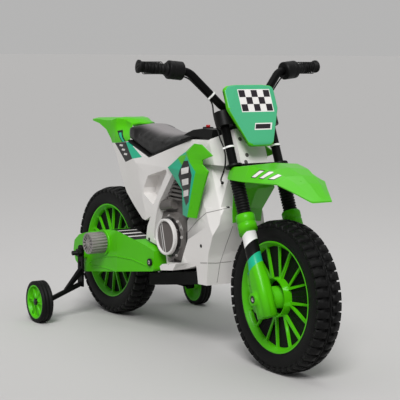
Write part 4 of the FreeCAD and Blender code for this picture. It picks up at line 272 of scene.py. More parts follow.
@dataclass(frozen=True)
class Finish:
    """One finish, with the grain, mottling, gloss, prints and painted shade and highlights that its node tree
    gets.
    """

    name: str
    slot: str
    colour: Triple
    kind: Kind = Kind.PLASTIC
    roughness: float = 0.35
    grain: float = 900.0
    grain_depth: float = 0.06
    mottle: float = 0.08
    coat: float = 0.0
    specular: float = 0.35
    decals: tuple[Decal, ...] = ()
    # A second colour mixed in by a point attribute; the seat uses it for a painted highlight on its top.
    second: Triple | None = None
    attribute: str = ""
    slow_grain: float = 1.0 / 60.0
    metal: float = 0.85
    coat_gloss: float = 0.12
    sheen: float = 0.12
    gloss_spread: Pair = (0.06, 0.08)

    def material(self) -> bpy.types.Material:
        """Builds the material once and returns it.

        Returns:
            The material of this finish.
        """
        found = bpy.data.materials.get(self.name)
        if found:
            return found
        made = bpy.data.materials.new(self.name)
        made.use_nodes = True
        made.diffuse_color = (*self.colour, 1.0)
        tree = made.node_tree
        shader = tree.nodes["Principled BSDF"]
        values = {
            "Metallic": self.metal if self.kind is Kind.METALLIC else 0.0,
            "Coat Weight": self.coat,
            "Coat Roughness": self.coat_gloss,
            "Specular IOR Level": self.specular,
            "Sheen Weight": self.sheen if self.kind is Kind.VINYL else 0.0,
        }
        for key, value in values.items():
            shader.inputs[key].default_value = value
        place = add_node(tree, "ShaderNodeTexCoord", {})
        where = place.outputs["Object"]
        slow = {"Vector": where, "Scale": self.grain * self.slow_grain, "Detail": 3.0}
        coarse = add_node(tree, "ShaderNodeTexNoise", slow).outputs["Fac"]
        tree.links.new(self._colour(tree, place, coarse), shader.inputs["Base Color"])
        less, more = self.gloss_spread
        gloss = {"Value": coarse, "To Min": max(0.05, self.roughness - less), "To Max": self.roughness + more}
        spread = add_node(tree, "ShaderNodeMapRange", gloss)
        tree.links.new(spread.outputs["Result"], shader.inputs["Roughness"])
        depth = {"Strength": self.grain_depth, "Distance": MM, "Height": self._grain(tree, where)}
        bump = add_node(tree, "ShaderNodeBump", depth)
        tree.links.new(bump.outputs["Normal"], shader.inputs["Normal"])
        return made

    def _grain(self, tree: NodeTree, where: Socket) -> Socket:
        """Adds the fine grain: small cells on vinyl, noise on the rest.

        Args:
            tree: The material's node tree.
            where: The object's own coordinates.

        Returns:
            The grain's height.
        """
        if self.kind is Kind.VINYL:
            cells = {"Vector": where, "Scale": self.grain}
            made = add_node(tree, "ShaderNodeTexVoronoi", cells, feature="DISTANCE_TO_EDGE")
            return made.outputs["Distance"]
        fine = {"Vector": where, "Scale": self.grain, "Detail": 2.0}
        return add_node(tree, "ShaderNodeTexNoise", fine).outputs["Fac"]

    def _colour(self, tree: NodeTree, place: Node, coarse: Socket) -> Socket:
        """Varies the colour a little over the surface and lays the prints and the painted shade and
        highlights on it.

        Args:
            tree: The material's node tree.
            place: The node that gives the coordinates.
            coarse: The slow noise.

        Returns:
            The colour.
        """
        low = tuple(value * (1.0 - self.mottle) for value in self.colour)
        high = tuple(min(1.0, value * (1.0 + self.mottle)) for value in self.colour)
        result = self._mix(tree, coarse, (*low, 1.0), high)
        # The second colour, used only by the seat, is its painted highlight on the top.
        if self.second is not None:
            share = add_node(tree, "ShaderNodeAttribute", {}, attribute_name=self.attribute)
            result = self._mix(tree, share.outputs["Fac"], result, self.second)
        # Decals are prints, painted shade or painted highlights.
        for decal in self.decals:
            result = self._mix(tree, decal.mask(tree, place), result, decal.colour)
        return result

    @staticmethod
    def _mix(tree: NodeTree, share: Socket, first: Socket | tuple[float, ...], second: Triple) -> Socket:
        """Adds a mix of two colours, by the share that the second one has."""
        feeds = {"Factor": share, "A": first, "B": (*second, 1.0)}
        return add_node(tree, "ShaderNodeMix", feeds, data_type="RGBA").outputs["Result"]


GREEN = (0.070, 0.445, 0.003)
SEA = (0.012, 0.400, 0.225)
PALE = (0.70, 0.678, 0.658)
INK = (0.005, 0.005, 0.005)

LIME = Finish("lime", "lime_plastic", GREEN, roughness=0.32, coat=0.03, specular=0.16)
BLACK = Finish("black", "black_plastic", INK, roughness=0.42, grain_depth=0.12, mottle=0.2, specular=0.12)
WHEEL = Finish("wheel", "wheel_black", INK, roughness=0.50, grain_depth=0.15, mottle=0.3, specular=0.10)
TYRE = Finish("tyre", "tyre_black", INK, Kind.RUBBER, 0.55, grain_depth=0.2, mottle=0.3, specular=0.12)
GRAPHITE = Finish("graphite", "graphite_plastic", (0.120, 0.108, 0.100), roughness=0.34, mottle=0.2)
RING = Finish("ring", "silver_plastic", (0.64, 0.62, 0.605), roughness=0.26, mottle=0.03, coat=0.1)
FRAME = Finish("frame", "frame_black", (0.003, 0.003, 0.003), roughness=0.34, grain_depth=0.1, specular=0.06)
STEEL = Finish("steel", "steel", (0.50, 0.50, 0.51), Kind.METALLIC, roughness=0.30)
DARK_STEEL = Finish("dark_steel", "steel", (0.020, 0.020, 0.020), Kind.METALLIC, roughness=0.34, mottle=0.2)
# The seat's dark vinyl with a lighter grey on its top by a point attribute: a painted highlight where the top
# catches the light.
VINYL = Finish(
    "vinyl", "seat_vinyl", (0.008, 0.0078, 0.0075), Kind.VINYL, 0.42, 1400.0, 0.2, specular=0.14,
    second=(0.215, 0.200, 0.202), attribute="crown",
)
THREAD = Finish("thread", "seat_vinyl", (0.030, 0.030, 0.031), Kind.RUBBER, roughness=0.60)
GRIP = Finish("grip", "grip_rubber", INK, Kind.RUBBER, roughness=0.50, grain_depth=0.2, specular=0.14)
CABLE = Finish("cable", "cable_black", INK, Kind.RUBBER, roughness=0.42, specular=0.14)
TIE = Finish("tie", "tie_white", (0.76, 0.76, 0.74), roughness=0.40)
RED = Finish("red", "button_red", (0.52, 0.012, 0.016), roughness=0.28, coat=0.2)
SEAM = Finish("seam", "white_plastic", (0.26, 0.25, 0.24), roughness=0.60, specular=0.1)
# Dark discs set in the head panel's holes: painted shade in the holes.
HOLE_SHADE = Finish("socket", "white_plastic", (0.085, 0.080, 0.076), roughness=0.60, specular=0.1)
BOLT = Finish("bolt", "graphite_plastic", (0.30, 0.285, 0.275), roughness=0.34, mottle=0.1)
SCREW = Finish("screw", "black_plastic", (0.010, 0.010, 0.010), roughness=0.45, specular=0.15)


def bolt_end(name: str, colour: Triple, shine: Triple, centre: Pair, rings: Pair) -> Finish:
    """Gives a bolt's finish, dark, with a painted highlight ring round its socket and the socket painted
    black as painted shade.

    Args:
        name: The finish's name.
        colour: The bolt's own colour.
        shine: The colour of the painted highlight ring.
        centre: The bolt's middle in the side view.
        rings: The ring's outer and inner radius in millimetres.

    Returns:
        The finish.
    """
    # A painted highlight ring, and a black socket as painted shade.
    prints = tuple(
        Decal(tone, SIDE_VIEW, radius=radius, centre=centre) for tone, radius in zip((shine, INK), rings)
    )
    return Finish(name, "steel", colour, roughness=0.35, specular=0.16, decals=prints)


# Mesh tools

LONG_EDGE = 0.012
SPLITS = 3


def linked(name: str, data: bpy.types.ID) -> Object:
    """Makes an object of a mesh, curve, lamp or camera and puts it in the scene.

    Args:
        name: The object's name.
        data: What it shows, in the row frame.

    Returns:
        The new object.
    """
    made = bpy.data.objects.new(name, data)
    bpy.context.scene.collection.objects.link(made)
    return made


def plain(item: Object) -> Mesh:
    """Gives an object's mesh with all its modifiers baked in."""
    graph = bpy.context.evaluated_depsgraph_get()
    return bpy.data.meshes.new_from_object(item.evaluated_get(graph))


def apply(item: Object) -> None:
    """Bakes all modifiers of an object into its mesh."""
    mesh = plain(item)
    item.modifiers.clear()
    item.data = mesh


def smooth(item: Object, angle: float = 32.0) -> None:
    """Shades an object smoothly, apart from edges sharper than an angle in degrees."""
    item.data.shade_smooth()
    item.data.set_sharp_from_angle(angle=math.radians(angle))


def body_of(part: str) -> str:
    """Finds the body that a CAD node belongs to."""
    bodies = frame["record"]["behaviour"]["bodies"]
    return next(name for name, nodes in bodies.items() if part in nodes)


def merged(part: str) -> bmesh.types.BMesh:
    """Copies a CAD node's triangles into one joined mesh.

    Args:
        part: The node's name.

    Returns:
        The joined mesh, to be freed by the caller.
    """
    shape = bmesh.new()
    shape.from_mesh(frame["nodes"][part].data)
    bmesh.ops.remove_doubles(shape, verts=shape.verts, dist=1e-5)
    bmesh.ops.recalc_face_normals(shape, faces=shape.faces)
    return shape


def meshed(name: str, shape: bmesh.types.BMesh) -> Mesh:
    """Turns a working mesh into a plain one and frees it.

    Args:
        name: The new mesh's name.
        shape: The working mesh.

    Returns:
        The plain mesh.
    """
    mesh = bpy.data.meshes.new(name)
    shape.to_mesh(mesh)
    shape.free()
    return mesh


def settle(item: Object, finish: Finish, body: str) -> None:
    """Gives a new piece its finish and the body that it moves with.

    Args:
        item: The piece.
        finish: Its finish.
        body: The body's name.
    """
    item.data.materials.clear()
    item.data.materials.append(finish.material())
    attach(item, body)
    LOG.info("made %s", item.name)


def step(value: float, low: float, high: float) -> float:
    """Gives a straight step from zero to one between two values."""
    return min(1.0, max(0.0, (value - low) / (high - low)))


def span(points: list[Vector], axis: int) -> Pair:
    """Gives the least and the greatest measure of some points along an axis."""
    values = [point[axis] for point in points]
    return min(values), max(values)


def ramp(value: float, low: float, high: float) -> float:
    """Gives a smooth step from zero to one between two values."""
    share = step(value, low, high)
    return share * share * (3.0 - 2.0 * share)


def skin(
    part: str,
    finish: Finish,
    width: float = 0.0,
    angle: float = 32.0,
    flat: bool = False,
    bend: Callable[[Vector], Vector] | None = None,
) -> None:
    """Makes a smooth copy of a CAD node, with moulded edges where it gets a width, that stands for it.

    Args:
        part: The node's name.
        finish: The finish of the copy.
        width: The width of the rounded edges in millimetres, or zero for the edges as they are.
        angle: The sharpest edge in degrees that stays smooth.
        flat: Whether its large faces keep an even shade.
        bend: A rule that gives each point its new place.
    """
    shape = merged(part)
    if bend is not None:
        for _ in range(SPLITS):
            long_edges = [edge for edge in shape.edges if edge.calc_length() > LONG_EDGE]
            bmesh.ops.subdivide_edges(shape, edges=long_edges, cuts=1)
            bmesh.ops.triangulate(shape, faces=shape.faces)
        for vertex in shape.verts:
            vertex.co = bend(vertex.co)
    if width > 0.0:
        bmesh.ops.dissolve_limit(shape, angle_limit=math.radians(0.5), verts=shape.verts, edges=shape.edges)
    item = linked(f"{part}_skin", meshed(f"{part}_skin", shape))
    smooth(item, angle)
    if width > 0.0:
        bevel = item.modifiers.new("edges", "BEVEL")
        bevel.limit_method = "ANGLE"
        bevel.angle_limit = math.radians(angle)
        bevel.width = width * MM
        bevel.segments = 2
        bevel.use_clamp_overlap = True
        bevel.harden_normals = True
    if flat:
        item.modifiers.new("even", "WEIGHTED_NORMAL").keep_sharp = True
    if item.modifiers:
        apply(item)
    settle(item, finish, body_of(part))
    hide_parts(part)


# Repeating details by Geometry Nodes

@dataclass
class Tree:
    """A Geometry Nodes tree with named sizes that is built once and run on small seed meshes."""

    name: str
    sizes: dict[str, float]
    group: NodeTree = field(init=False)
    sockets: dict[str, str] = field(init=False, default_factory=dict)
    start: dict[str, Socket] = field(init=False)
    coat: Node = field(init=False)

    def __post_init__(self) -> None:
        """Opens the tree with its named sizes and ends it with real geometry and its material."""
        self.group = bpy.data.node_groups.new(self.name, "GeometryNodeTree")
        ports = self.group.interface
        ports.new_socket("Geometry", in_out="INPUT", socket_type="NodeSocketGeometry")
        for size, value in self.sizes.items():
            socket = ports.new_socket(size, in_out="INPUT", socket_type="NodeSocketFloat")
            socket.default_value = value
            self.sockets[size] = socket.identifier
        ports.new_socket("Geometry", in_out="OUTPUT", socket_type="NodeSocketGeometry")
        opening = self.add("NodeGroupInput", {})
        self.start = {name: opening.outputs[name] for name in ("Geometry", *self.sizes)}
        real = self.add("GeometryNodeRealizeInstances", {"Geometry": self.build()})
        self.coat = self.add("GeometryNodeSetMaterial", {"Geometry": real.outputs["Geometry"]})
        self.add("NodeGroupOutput", {"Geometry": self.coat.outputs["Geometry"]})

    def add(self, kind: str, feeds: dict[str | int, object], **settings: object) -> Node:
        """Adds a node to the tree, with its inputs linked or set."""
        return add_node(self.group, kind, feeds, **settings)

    def ring(self, size: str, count: int) -> Socket:
        """Adds a circle of a named radius with a number of corners."""
        feeds = {"Resolution": count, "Radius": self.start[size]}
        return self.add("GeometryNodeCurvePrimitiveCircle", feeds, mode="RADIUS").outputs["Curve"]

    def swept(self, path: Socket, section: Socket, caps: bool = False) -> Socket:
        """Adds a tube with a section along a path."""
        feeds = {"Curve": path, "Profile Curve": section, "Fill Caps": caps}
        return self.add("GeometryNodeCurveToMesh", feeds).outputs["Mesh"]

    def lines(self) -> Socket:
        """Adds the seed lines as curves."""
        return self.add("GeometryNodeMeshToCurve", {"Mesh": self.start["Geometry"]}).outputs["Curve"]

    def copies(self, points: Socket, shape: Socket, way: Socket) -> Socket:
        """Puts a copy of a shape on each point.

        Args:
            points: The points.
            shape: What is copied, standing along its own upward axis.
            way: The direction that each copy stands along.

        Returns:
            The copies.
        """
        turn = self.add("FunctionNodeAlignRotationToVector", {"Vector": way}, axis="Z").outputs["Rotation"]
        feeds = {"Points": points, "Instance": shape, "Rotation": turn}
        return self.add("GeometryNodeInstanceOnPoints", feeds).outputs["Instances"]

    def row(self, shape: Socket) -> Socket:
        """Puts copies of a shape at an even pitch along the seed lines.

        Args:
            shape: What is copied.

        Returns:
            The copies.
        """
        feeds = {"Curve": self.lines(), "Length": self.start["Pitch"]}
        even = self.add("GeometryNodeResampleCurve", feeds, mode="LENGTH").outputs["Curve"]
        return self.copies(even, shape, self.add("GeometryNodeInputTangent", {}).outputs["Tangent"])

    def build(self) -> Socket:
        """Builds the tree's own nodes and gives what they make."""
        raise NotImplementedError

    def run(self, name: str, seed: Mesh, finish: Finish, body: str, **sizes: float) -> None:
        """Runs the tree on a seed mesh and turns the result into a plain piece.

        Args:
            name: The piece's name.
            seed: The points or lines that the details sit on.
            finish: The finish of the details.
            body: The body that they move with.
            **sizes: Values of the named sizes in millimetres.
        """
        self.coat.inputs["Material"].default_value = finish.material()
        item = linked(name, seed)
        modifier = item.modifiers.new(self.name, "NODES")
        modifier.node_group = self.group
        for size, value in sizes.items():
            modifier[self.sockets[size]] = value * MM
        apply(item)
        smooth(item)
        settle(item, finish, body)


class HeadTree(Tree):
    """Round screw heads with a raised lip, one for each seed point, along its facing."""

    def build(self) -> Socket:
        """Builds the head from a disc and its lip and puts one on each point.

        Returns:
            The heads.
        """
        rim = self.swept(self.ring("Radius", 20), self.ring("Lip", 8))
        feeds = {"Vertices": 20, "Radius": self.start["Radius"], "Depth": self.start["Lip"]}
        disc = self.add("GeometryNodeMeshCylinder", feeds, fill_type="NGON")
        both = self.add("GeometryNodeJoinGeometry", {"Geometry": rim})
        self.group.links.new(disc.outputs["Mesh"], both.inputs["Geometry"])
        points = self.add("GeometryNodeMeshToPoints", {"Mesh": self.start["Geometry"]})
        facing = self.add("GeometryNodeInputNamedAttribute", {"Name": "facing"}, data_type="FLOAT_VECTOR")
        return self.copies(points.outputs["Points"], both.outputs["Geometry"], facing.outputs["Attribute"])


class RowTree(Tree):
    """Small rounded links in a row along each seed line, such as stitches."""

    def build(self) -> Socket:
        """Builds the row from long links at the line's evenly spaced points.

        Returns:
            The links.
        """
        ball = {"Segments": 8, "Rings": 6, "Radius": self.start["Radius"]}
        link = self.add("GeometryNodeMeshUVSphere", ball)
        feeds = {"Geometry": link.outputs["Mesh"], "Scale": (1.0, 1.0, 3.2)}
        return self.row(self.add("GeometryNodeTransform", feeds).outputs["Geometry"])


class HoopTree(Tree):
    """Hoops at an even pitch along each seed line, such as the ribs of a grip."""

    def build(self) -> Socket:
        """Builds the hoops round the line."""
        return self.row(self.swept(self.ring("Radius", 28), self.ring("Bead", 8)))


class BeadTree(Tree):
    """Round beads along each seed line, such as seams and moulded ridges."""

    def build(self) -> Socket:
        """Builds the beads with a round section."""
        return self.swept(self.lines(), self.ring("Radius", 8), caps=True)


DRAPE_PITCH = 4.0
RAY_START = 0.4


def draped(part: str, line: Outline, side: Side, lift: float = 0.0, depth: float = 0.0) -> Spots:
    """Lays a line that is drawn in the side view on a CAD node.

    Args:
        part: The node's name.
        line: The line's corners in millimetres, along the bike and up.
        side: The side that the node is seen from.
        lift: How far the points stand off the surface in millimetres.
        depth: How far out from the middle the line was drawn in the photograph's view, or zero
            for a line drawn square to the bike's side.

    Returns:
        Points on the surface and their outward normals.
    """
    shape = merged(part)
    surface = BVHTree.FromBMesh(shape)
    shape.free()
    eye = Vector(EYE)
    eye.y *= -side.value
    spots = [line[0]]
    for start, end in zip(line, line[1:]):
        count = max(1, round(math.dist(start, end) / DRAPE_PITCH))
        for share in range(1, count + 1):
            spots.append(tuple(a + (b - a) * share / count for a, b in zip(start, end)))
    found = []
    for x, z in spots:
        spot = Vector((x, side.value * depth, z)) * MM
        inward = (spot - eye).normalized() if depth else -Vector(side.outward)
        place, normal, _, _ = surface.ray_cast(spot - inward * RAY_START, inward)
        if place is not None:
            found.append((place + normal * lift * MM, normal))
    return found


def seed_points(name: str, spots: Spots) -> Mesh:
    """Makes a seed mesh of points that each know which way they face.

    Args:
        name: The mesh's name.
        spots: The points in metres and their facings.

    Returns:
        The mesh.
    """
    mesh = bpy.data.meshes.new(name)
    mesh.from_pydata([tuple(spot) for spot, _ in spots], [], [])
    facing = mesh.attributes.new("facing", "FLOAT_VECTOR", "POINT")
    for index, (_, way) in enumerate(spots):
        facing.data[index].vector = way
    return mesh


def seed_lines(name: str, lines: list[list[Vector]]) -> Mesh:
    """Makes a seed mesh of open lines.

    Args:
        name: The mesh's name.
        lines: The points of each line in metres.

    Returns:
        The mesh.
    """
    points, edges = [], []
    for line in lines:
        first = len(points)
        points.extend(tuple(point) for point in line)
        edges.extend((index, index + 1) for index in range(first, len(points) - 1))
    mesh = bpy.data.meshes.new(name)
    mesh.from_pydata(points, edges, [])
    return mesh


def tube(name: str, path: list[Vector], radius: float, sides: int = 12) -> Mesh:
    """Makes a closed round tube along a path.

    Args:
        name: The mesh's name.
        path: The points that it follows.
        radius: Its radius in metres.
        sides: Faces round it.

    Returns:
        The mesh.
    """
    shape = bmesh.new()
    rings = []
    normal = (path[1] - path[0]).orthogonal().normalized()
    for index, spot in enumerate(path):
        ahead = path[min(index + 1, len(path) - 1)] - path[max(index - 1, 0)]
        ahead.normalize()
        normal = (normal - ahead * normal.dot(ahead)).normalized()
        side = ahead.cross(normal)
        turns = [2.0 * math.pi * corner / sides for corner in range(sides)]
        ways = [normal * math.cos(turn) + side * math.sin(turn) for turn in turns]
        rings.append([shape.verts.new(spot + way * radius) for way in ways])
    for first, second in zip(rings, rings[1:]):
        for corner in range(sides):
            after = (corner + 1) % sides
            shape.faces.new((first[corner], first[after], second[after], second[corner]))
    shape.faces.new(rings[0][::-1])
    shape.faces.new(rings[-1])
    bmesh.ops.recalc_face_normals(shape, faces=shape.faces)
    return meshed(name, shape)


def spline_points(route: list[Vector]) -> list[Vector]:
    """Reads the points of the smooth spline that has a route's points as its control points.

    Args:
        route: The control points.

    Returns:
        Points along the spline.
    """
    curve = bpy.data.curves.new("route", "CURVE")
    curve.dimensions = "3D"
    curve.resolution_u = 10
    spline = curve.splines.new("NURBS")
    spline.points.add(len(route) - 1)
    for point, place in zip(spline.points, route):
        point.co = (*place, 1.0)
    spline.order_u = 3
    spline.use_endpoint_u = True
    holder = linked("route", curve)
    points = [vertex.co.copy() for vertex in plain(holder).vertices]
    bpy.data.objects.remove(holder)
    return points


# Stage

@dataclass
class Stage:
    """The floor, the lights and the camera at the photograph's angle."""

    heading: Triple = (-0.8342, 0.5383, -0.1197)
    roll: float = 0.7
    lens: float = 117.76
    sensor: float = 36.0
    view_end: float = 200.0
    floor: float = 60.0
    floor_colour: Triple = (0.50, 0.49, 0.48)
    floor_gloss: float = 0.75
    sky_colour: Triple = (0.46, 0.458, 0.455)
    sky_tint: Triple = (0.95, 0.97, 1.0)
    sky_light: float = 0.30
    sun_from: Triple = (0.56, -0.44, 0.70)
    sun_power: float = 2.9
    sun_spread: float = 25.0
    box_size: float = 2.4
    box_power: float = 22.0
    box_place: Triple = (0.2, 0.3, 2.6)

    def camera(self) -> None:
        """Sets the camera."""
        data = bpy.data.cameras.new("camera")
        data.lens = self.lens
        data.sensor_width = self.sensor
        data.clip_end = self.view_end
        item = linked("camera", data)
        turn = Vector(self.heading).to_track_quat("-Z", "Y").to_matrix().to_4x4()
        item.matrix_world = Matrix.Translation(EYE) @ turn @ Matrix.Rotation(math.radians(self.roll), 4, "Z")
        bpy.context.scene.camera = item

    def build(self) -> None:
        """Lays the floor and sets the lights."""
        self._floor()
        self._sky()
        self._lamps()
        bpy.context.scene.view_settings.view_transform = "Standard"

    def _floor(self) -> None:
        """Lays a plain pale floor."""
        shape = bmesh.new()
        bmesh.ops.create_grid(shape, x_segments=1, y_segments=1, size=self.floor)
        item = linked("floor", meshed("floor", shape))
        material = bpy.data.materials.new("floor")
        material.use_nodes = True
        shader = material.node_tree.nodes["Principled BSDF"]
        shader.inputs["Base Color"].default_value = (*self.floor_colour, 1.0)
        shader.inputs["Roughness"].default_value = self.floor_gloss
        item.data.materials.append(material)

    def _sky(self) -> None:
        """Sets the sky's even light and the pale tone that is seen behind the bike."""
        world = bpy.data.worlds.new("studio")
        world.use_nodes = True
        tree = world.node_tree
        light = tree.nodes["Background"]
        light.inputs["Color"].default_value = (*self.sky_tint, 1.0)
        light.inputs["Strength"].default_value = self.sky_light
        seen = add_node(tree, "ShaderNodeBackground", {"Color": (*self.sky_colour, 1.0)})
        path = add_node(tree, "ShaderNodeLightPath", {})
        share = path.outputs["Is Camera Ray"]
        for name in ("Is Glossy Ray", "Is Transmission Ray"):
            share = maths(tree, "MAXIMUM", share, path.outputs[name])
        feeds = {"Fac": share, 1: light.outputs["Background"], 2: seen.outputs["Background"]}
        mix = add_node(tree, "ShaderNodeMixShader", feeds)
        tree.links.new(mix.outputs["Shader"], tree.nodes["World Output"].inputs["Surface"])
        bpy.context.scene.world = world

    def _lamps(self) -> None:
        """Sets a broad soft sun and a soft box overhead."""
        sun = bpy.data.lights.new("sun", "SUN")
        sun.energy = self.sun_power
        sun.angle = math.radians(self.sun_spread)
        item = linked("sun", sun)
        item.rotation_euler = (-Vector(self.sun_from)).to_track_quat("-Z", "Y").to_euler()
        box = bpy.data.lights.new("soft_box", "AREA")
        box.size = self.box_size
        box.energy = self.box_power
        linked("soft_box", box).location = self.box_place


# Sub-assemblies

@dataclass
class Cables:
    """The two control cables from the bar's housings to the ferrules in the body."""

    route: tuple[Triple, ...] = (
        (0.1664, -0.1386, 0.6339), (0.1682, -0.1279, 0.6317), (0.1717, -0.1159, 0.6211),
        (0.1805, -0.0893, 0.5944), (0.1861, -0.0733, 0.5776), (0.1945, -0.0760, 0.5537),
        (0.2040, -0.0762, 0.5336), (0.2130, -0.0757, 0.5161), (0.2226, -0.0755, 0.4977),
        (0.2310, -0.0726, 0.4840), (0.2358, -0.0726, 0.4730), (0.2396, -0.0726, 0.4645),
        (0.2391, -0.0720, 0.4439), (0.2300, -0.0701, 0.4273), (0.2181, -0.0670, 0.4146),
        (0.2053, -0.0611, 0.4063), (0.1954, -0.0531, 0.4017), (0.1856, -0.0437, 0.3974),
    )
    tied: int = 10
    radius: float = 1.7

    def build(self) -> None:
        """Builds both cables along their route between the steering and the body."""
        for side in Side:
            route = [Vector((x, -y * side.value, z)) for x, y, z in self.route]
            path = spline_points(route)
            item = linked(f"{side.label}_cable", tube("cable", path, self.radius * MM))
            item.data.shade_smooth()
            item.data.materials.append(CABLE.material())
            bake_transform(item)
            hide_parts("handlebar_cables", "cable_loops")


@dataclass
class Wheels:
    """The two road wheels with their rims and the two training wheels."""

    hub_disc: float = 25.0

    def build(self) -> None:
        """Dresses the tyres, rims, hubs and axles."""
        hub = Decal(GREEN, SIDE_VIEW, radius=self.hub_disc, centre=FRONT_AXLE)
        for end, finish in (("front", replace(WHEEL, name="front_wheel", decals=(hub,))), ("rear", WHEEL)):
            skin(f"{end}_wheel", finish, angle=28.0)
            skin(f"{end}_rims", LIME, angle=28.0)
        for side in Side:
            skin(f"{side.label}_training_hub", LIME)
            skin(f"{side.label}_training_tyre", TYRE)
        skin("front_axle", STEEL)
        skin("rear_axle", DARK_STEEL)


@dataclass
class Fork:
    """The fork, its clamps, the fender and the plate."""

    spread: float = 62.0
    slope: Pair = (0.42, 0.30)
    reach: float = 24.0
    collar: float = 150.0
    washer: float = 8.6
    bands: tuple[tuple[float, float, Triple], ...] = (
        (123.0, 149.0, (0.90, 0.89, 0.88)),
        (95.0, 123.0, INK),
        (73.0, 95.0, SEA),
    )
    plate_colour: Triple = (0.062, 0.37, 0.185)
    plate_cut: float = 0.82
    flag_corner: Pair = (-32.0, 414.0)
    flag_cell: float = 16.5
    flag_rows: int = 3
    flag_columns: int = 5
    flag_border: float = 2.0
    flag_ink: Triple = (0.020, 0.016, 0.020)
    plate_bar: tuple[float, ...] = (-12.0, 370.0, 46.0, 16.0, 6.0)
    plate_bar_ink: tuple[float, ...] = (-9.0, 372.5, 40.0, 11.0, 4.0)
    slash_from: Pair = (340.0, 426.0)
    slash_pitch: float = 24.0
    slash_size: Pair = (11.0, 14.0)
    slash_border: float = 1.6
    slash_cut: float = 0.35

    def build(self) -> None:
        """Dresses the fork from the axle to the plate."""
        for side in Side:
            leg = replace(LIME, name=f"{side.label}_leg", decals=self._bands(side))
            skin(f"{side.label}_fork_leg", leg)
            skin(f"{side.label}_fork_gaiter", GRIP)
        skin("fork_tubes", FRAME)
        skin("lower_clamp", BLACK, 1.0)
        skin("upper_clamp", BLACK, 1.0)
        skin("steering_stem", STEEL)
        skin("number_plate", replace(LIME, name="plate", decals=self._plate()), angle=24.0, flat=True)
        fender = replace(LIME, name="fender", roughness=0.30, coat=0.05, specular=0.35, decals=self._fender())
        skin("front_fender", fender, angle=20.0, flat=True)
        cap = bolt_end("axle_cap", (0.012, 0.012, 0.012), (0.34, 0.335, 0.33), FRONT_AXLE, (4.4, 2.8))
        skin("front_axle_caps", cap)

    def _bands(self, side: Side) -> tuple[Decal, ...]:
        """Draws the slanted bands below a leg's collar and the dark washer at its axle.

        Args:
            side: The side of the bike.

        Returns:
            The prints.
        """
        ahead, inward = self.slope
        steep = math.hypot(ahead, inward)
        way = Vector(FORK_AHEAD) * (ahead / steep) - Vector(side.outward) * (inward / steep)
        middle = Vector(FORK_ZERO) + Vector(side.outward) * self.spread
        axes = Axes(tuple(middle), tuple(way), FORK_UP)
        lift = steep * self.reach
        prints = []
        for low, high, colour in self.bands:
            outline = [(-self.reach, low - lift), (self.reach, low + lift), (self.reach, high + lift)]
            if high + lift > self.collar:
                outline[2:] = [(self.reach, self.collar), ((self.collar - high) / steep, self.collar)]
            outline.append((-self.reach, high - lift))
            prints.append(Decal(colour, axes, tuple(outline)))
        prints.append(Decal(INK, SIDE_VIEW, facing=side.outward, radius=self.washer, centre=FRONT_AXLE))
        return tuple(prints)

    def _plate(self) -> tuple[Decal, ...]:
        """Draws the plate's face with a chequered band and a slanted bar.

        Returns:
            The prints, the face first.
        """
        left, low = self.flag_corner
        cell = self.flag_cell
        edge = self.flag_border
        size = (self.flag_columns * cell + 2.0 * edge, self.flag_rows * cell + 2.0 * edge)
        shapes = [(self.plate_colour, ()), (PALE, slanted(left - edge, low - edge, *size))]
        for row in range(self.flag_rows):
            for column in range(row % 2, self.flag_columns, 2):
                shapes.append((self.flag_ink, slanted(left + column * cell, low + row * cell, cell, cell)))
        shapes.append((PALE, slanted(*self.plate_bar)))
        shapes.append((self.flag_ink, slanted(*self.plate_bar_ink)))
        return printed(shapes, PLATE_VIEW, FORK_AHEAD, self.plate_cut)

    def _fender(self) -> tuple[Decal, ...]:
        """Draws three plain slashes on each side of the fender.

        Returns:
            The slashes, each with a dark border.
        """
        shapes = []
        left, low = self.slash_from
        wide, tall = self.slash_size
        for place in range(3):
            x = left + self.slash_pitch * place
            for colour, grow in ((INK, self.slash_border), (PALE, 0.0)):
                outline = slanted(x - grow, low - grow, wide + 2.0 * grow, tall + 2.0 * grow, wide)
                shapes.append((colour, outline))
        sides = (printed(shapes, SIDE_VIEW, side.outward, self.slash_cut) for side in Side)
        return tuple(decal for prints in sides for decal in prints)


@dataclass
class Controls:
    """The handlebar with its grips, housings, clamps and ties."""

    hoops: HoopTree
    rib_pitch: float = 5.0
    rib_bead: float = 0.9
    rib_margin: float = 0.22
    bare_margin: float = 0.3

    def build(self) -> None:
        """Dresses the bar and puts ribs round the grips."""
        grips = ("left_grip", "throttle_grip")
        skin("handlebar", FRAME)
        for part in ("bar_clamps", "throttle_housing", "switch_housing"):
            skin(part, BLACK, 0.8)
        for part in grips:
            skin(part, GRIP)
        skin("horn_button", RED)
        skin("cable_ties", TIE)
        skin("cable_ferrules", BLACK)
        for part in grips:
            self._ribs(part)

    def _ribs(self, part: str) -> None:
        """Puts ribs round a grip.

        Args:
            part: The grip's node.
        """
        shape = merged(part)
        points = [vertex.co.copy() for vertex in shape.verts]
        shape.free()
        low, high = span(points, 1)
        bare = self.bare_margin * (high - low)
        points = [point for point in points if low + bare < point.y < high - bare] or points
        left, right = span(points, 0)
        bottom, top = span(points, 2)
        margin = self.rib_margin * (high - low)
        middle = Vector((left + right, 0.0, bottom + top)) / 2.0
        line = [middle + Vector((0.0, y, 0.0)) for y in (low + margin, high - margin)]
        sizes = {"Pitch": self.rib_pitch, "Radius": (top - bottom) / 2.0 / MM, "Bead": self.rib_bead}
        self.hoops.run(f"{part}_ribs", seed_lines("ribs", [line]), GRIP, body_of(part), **sizes)


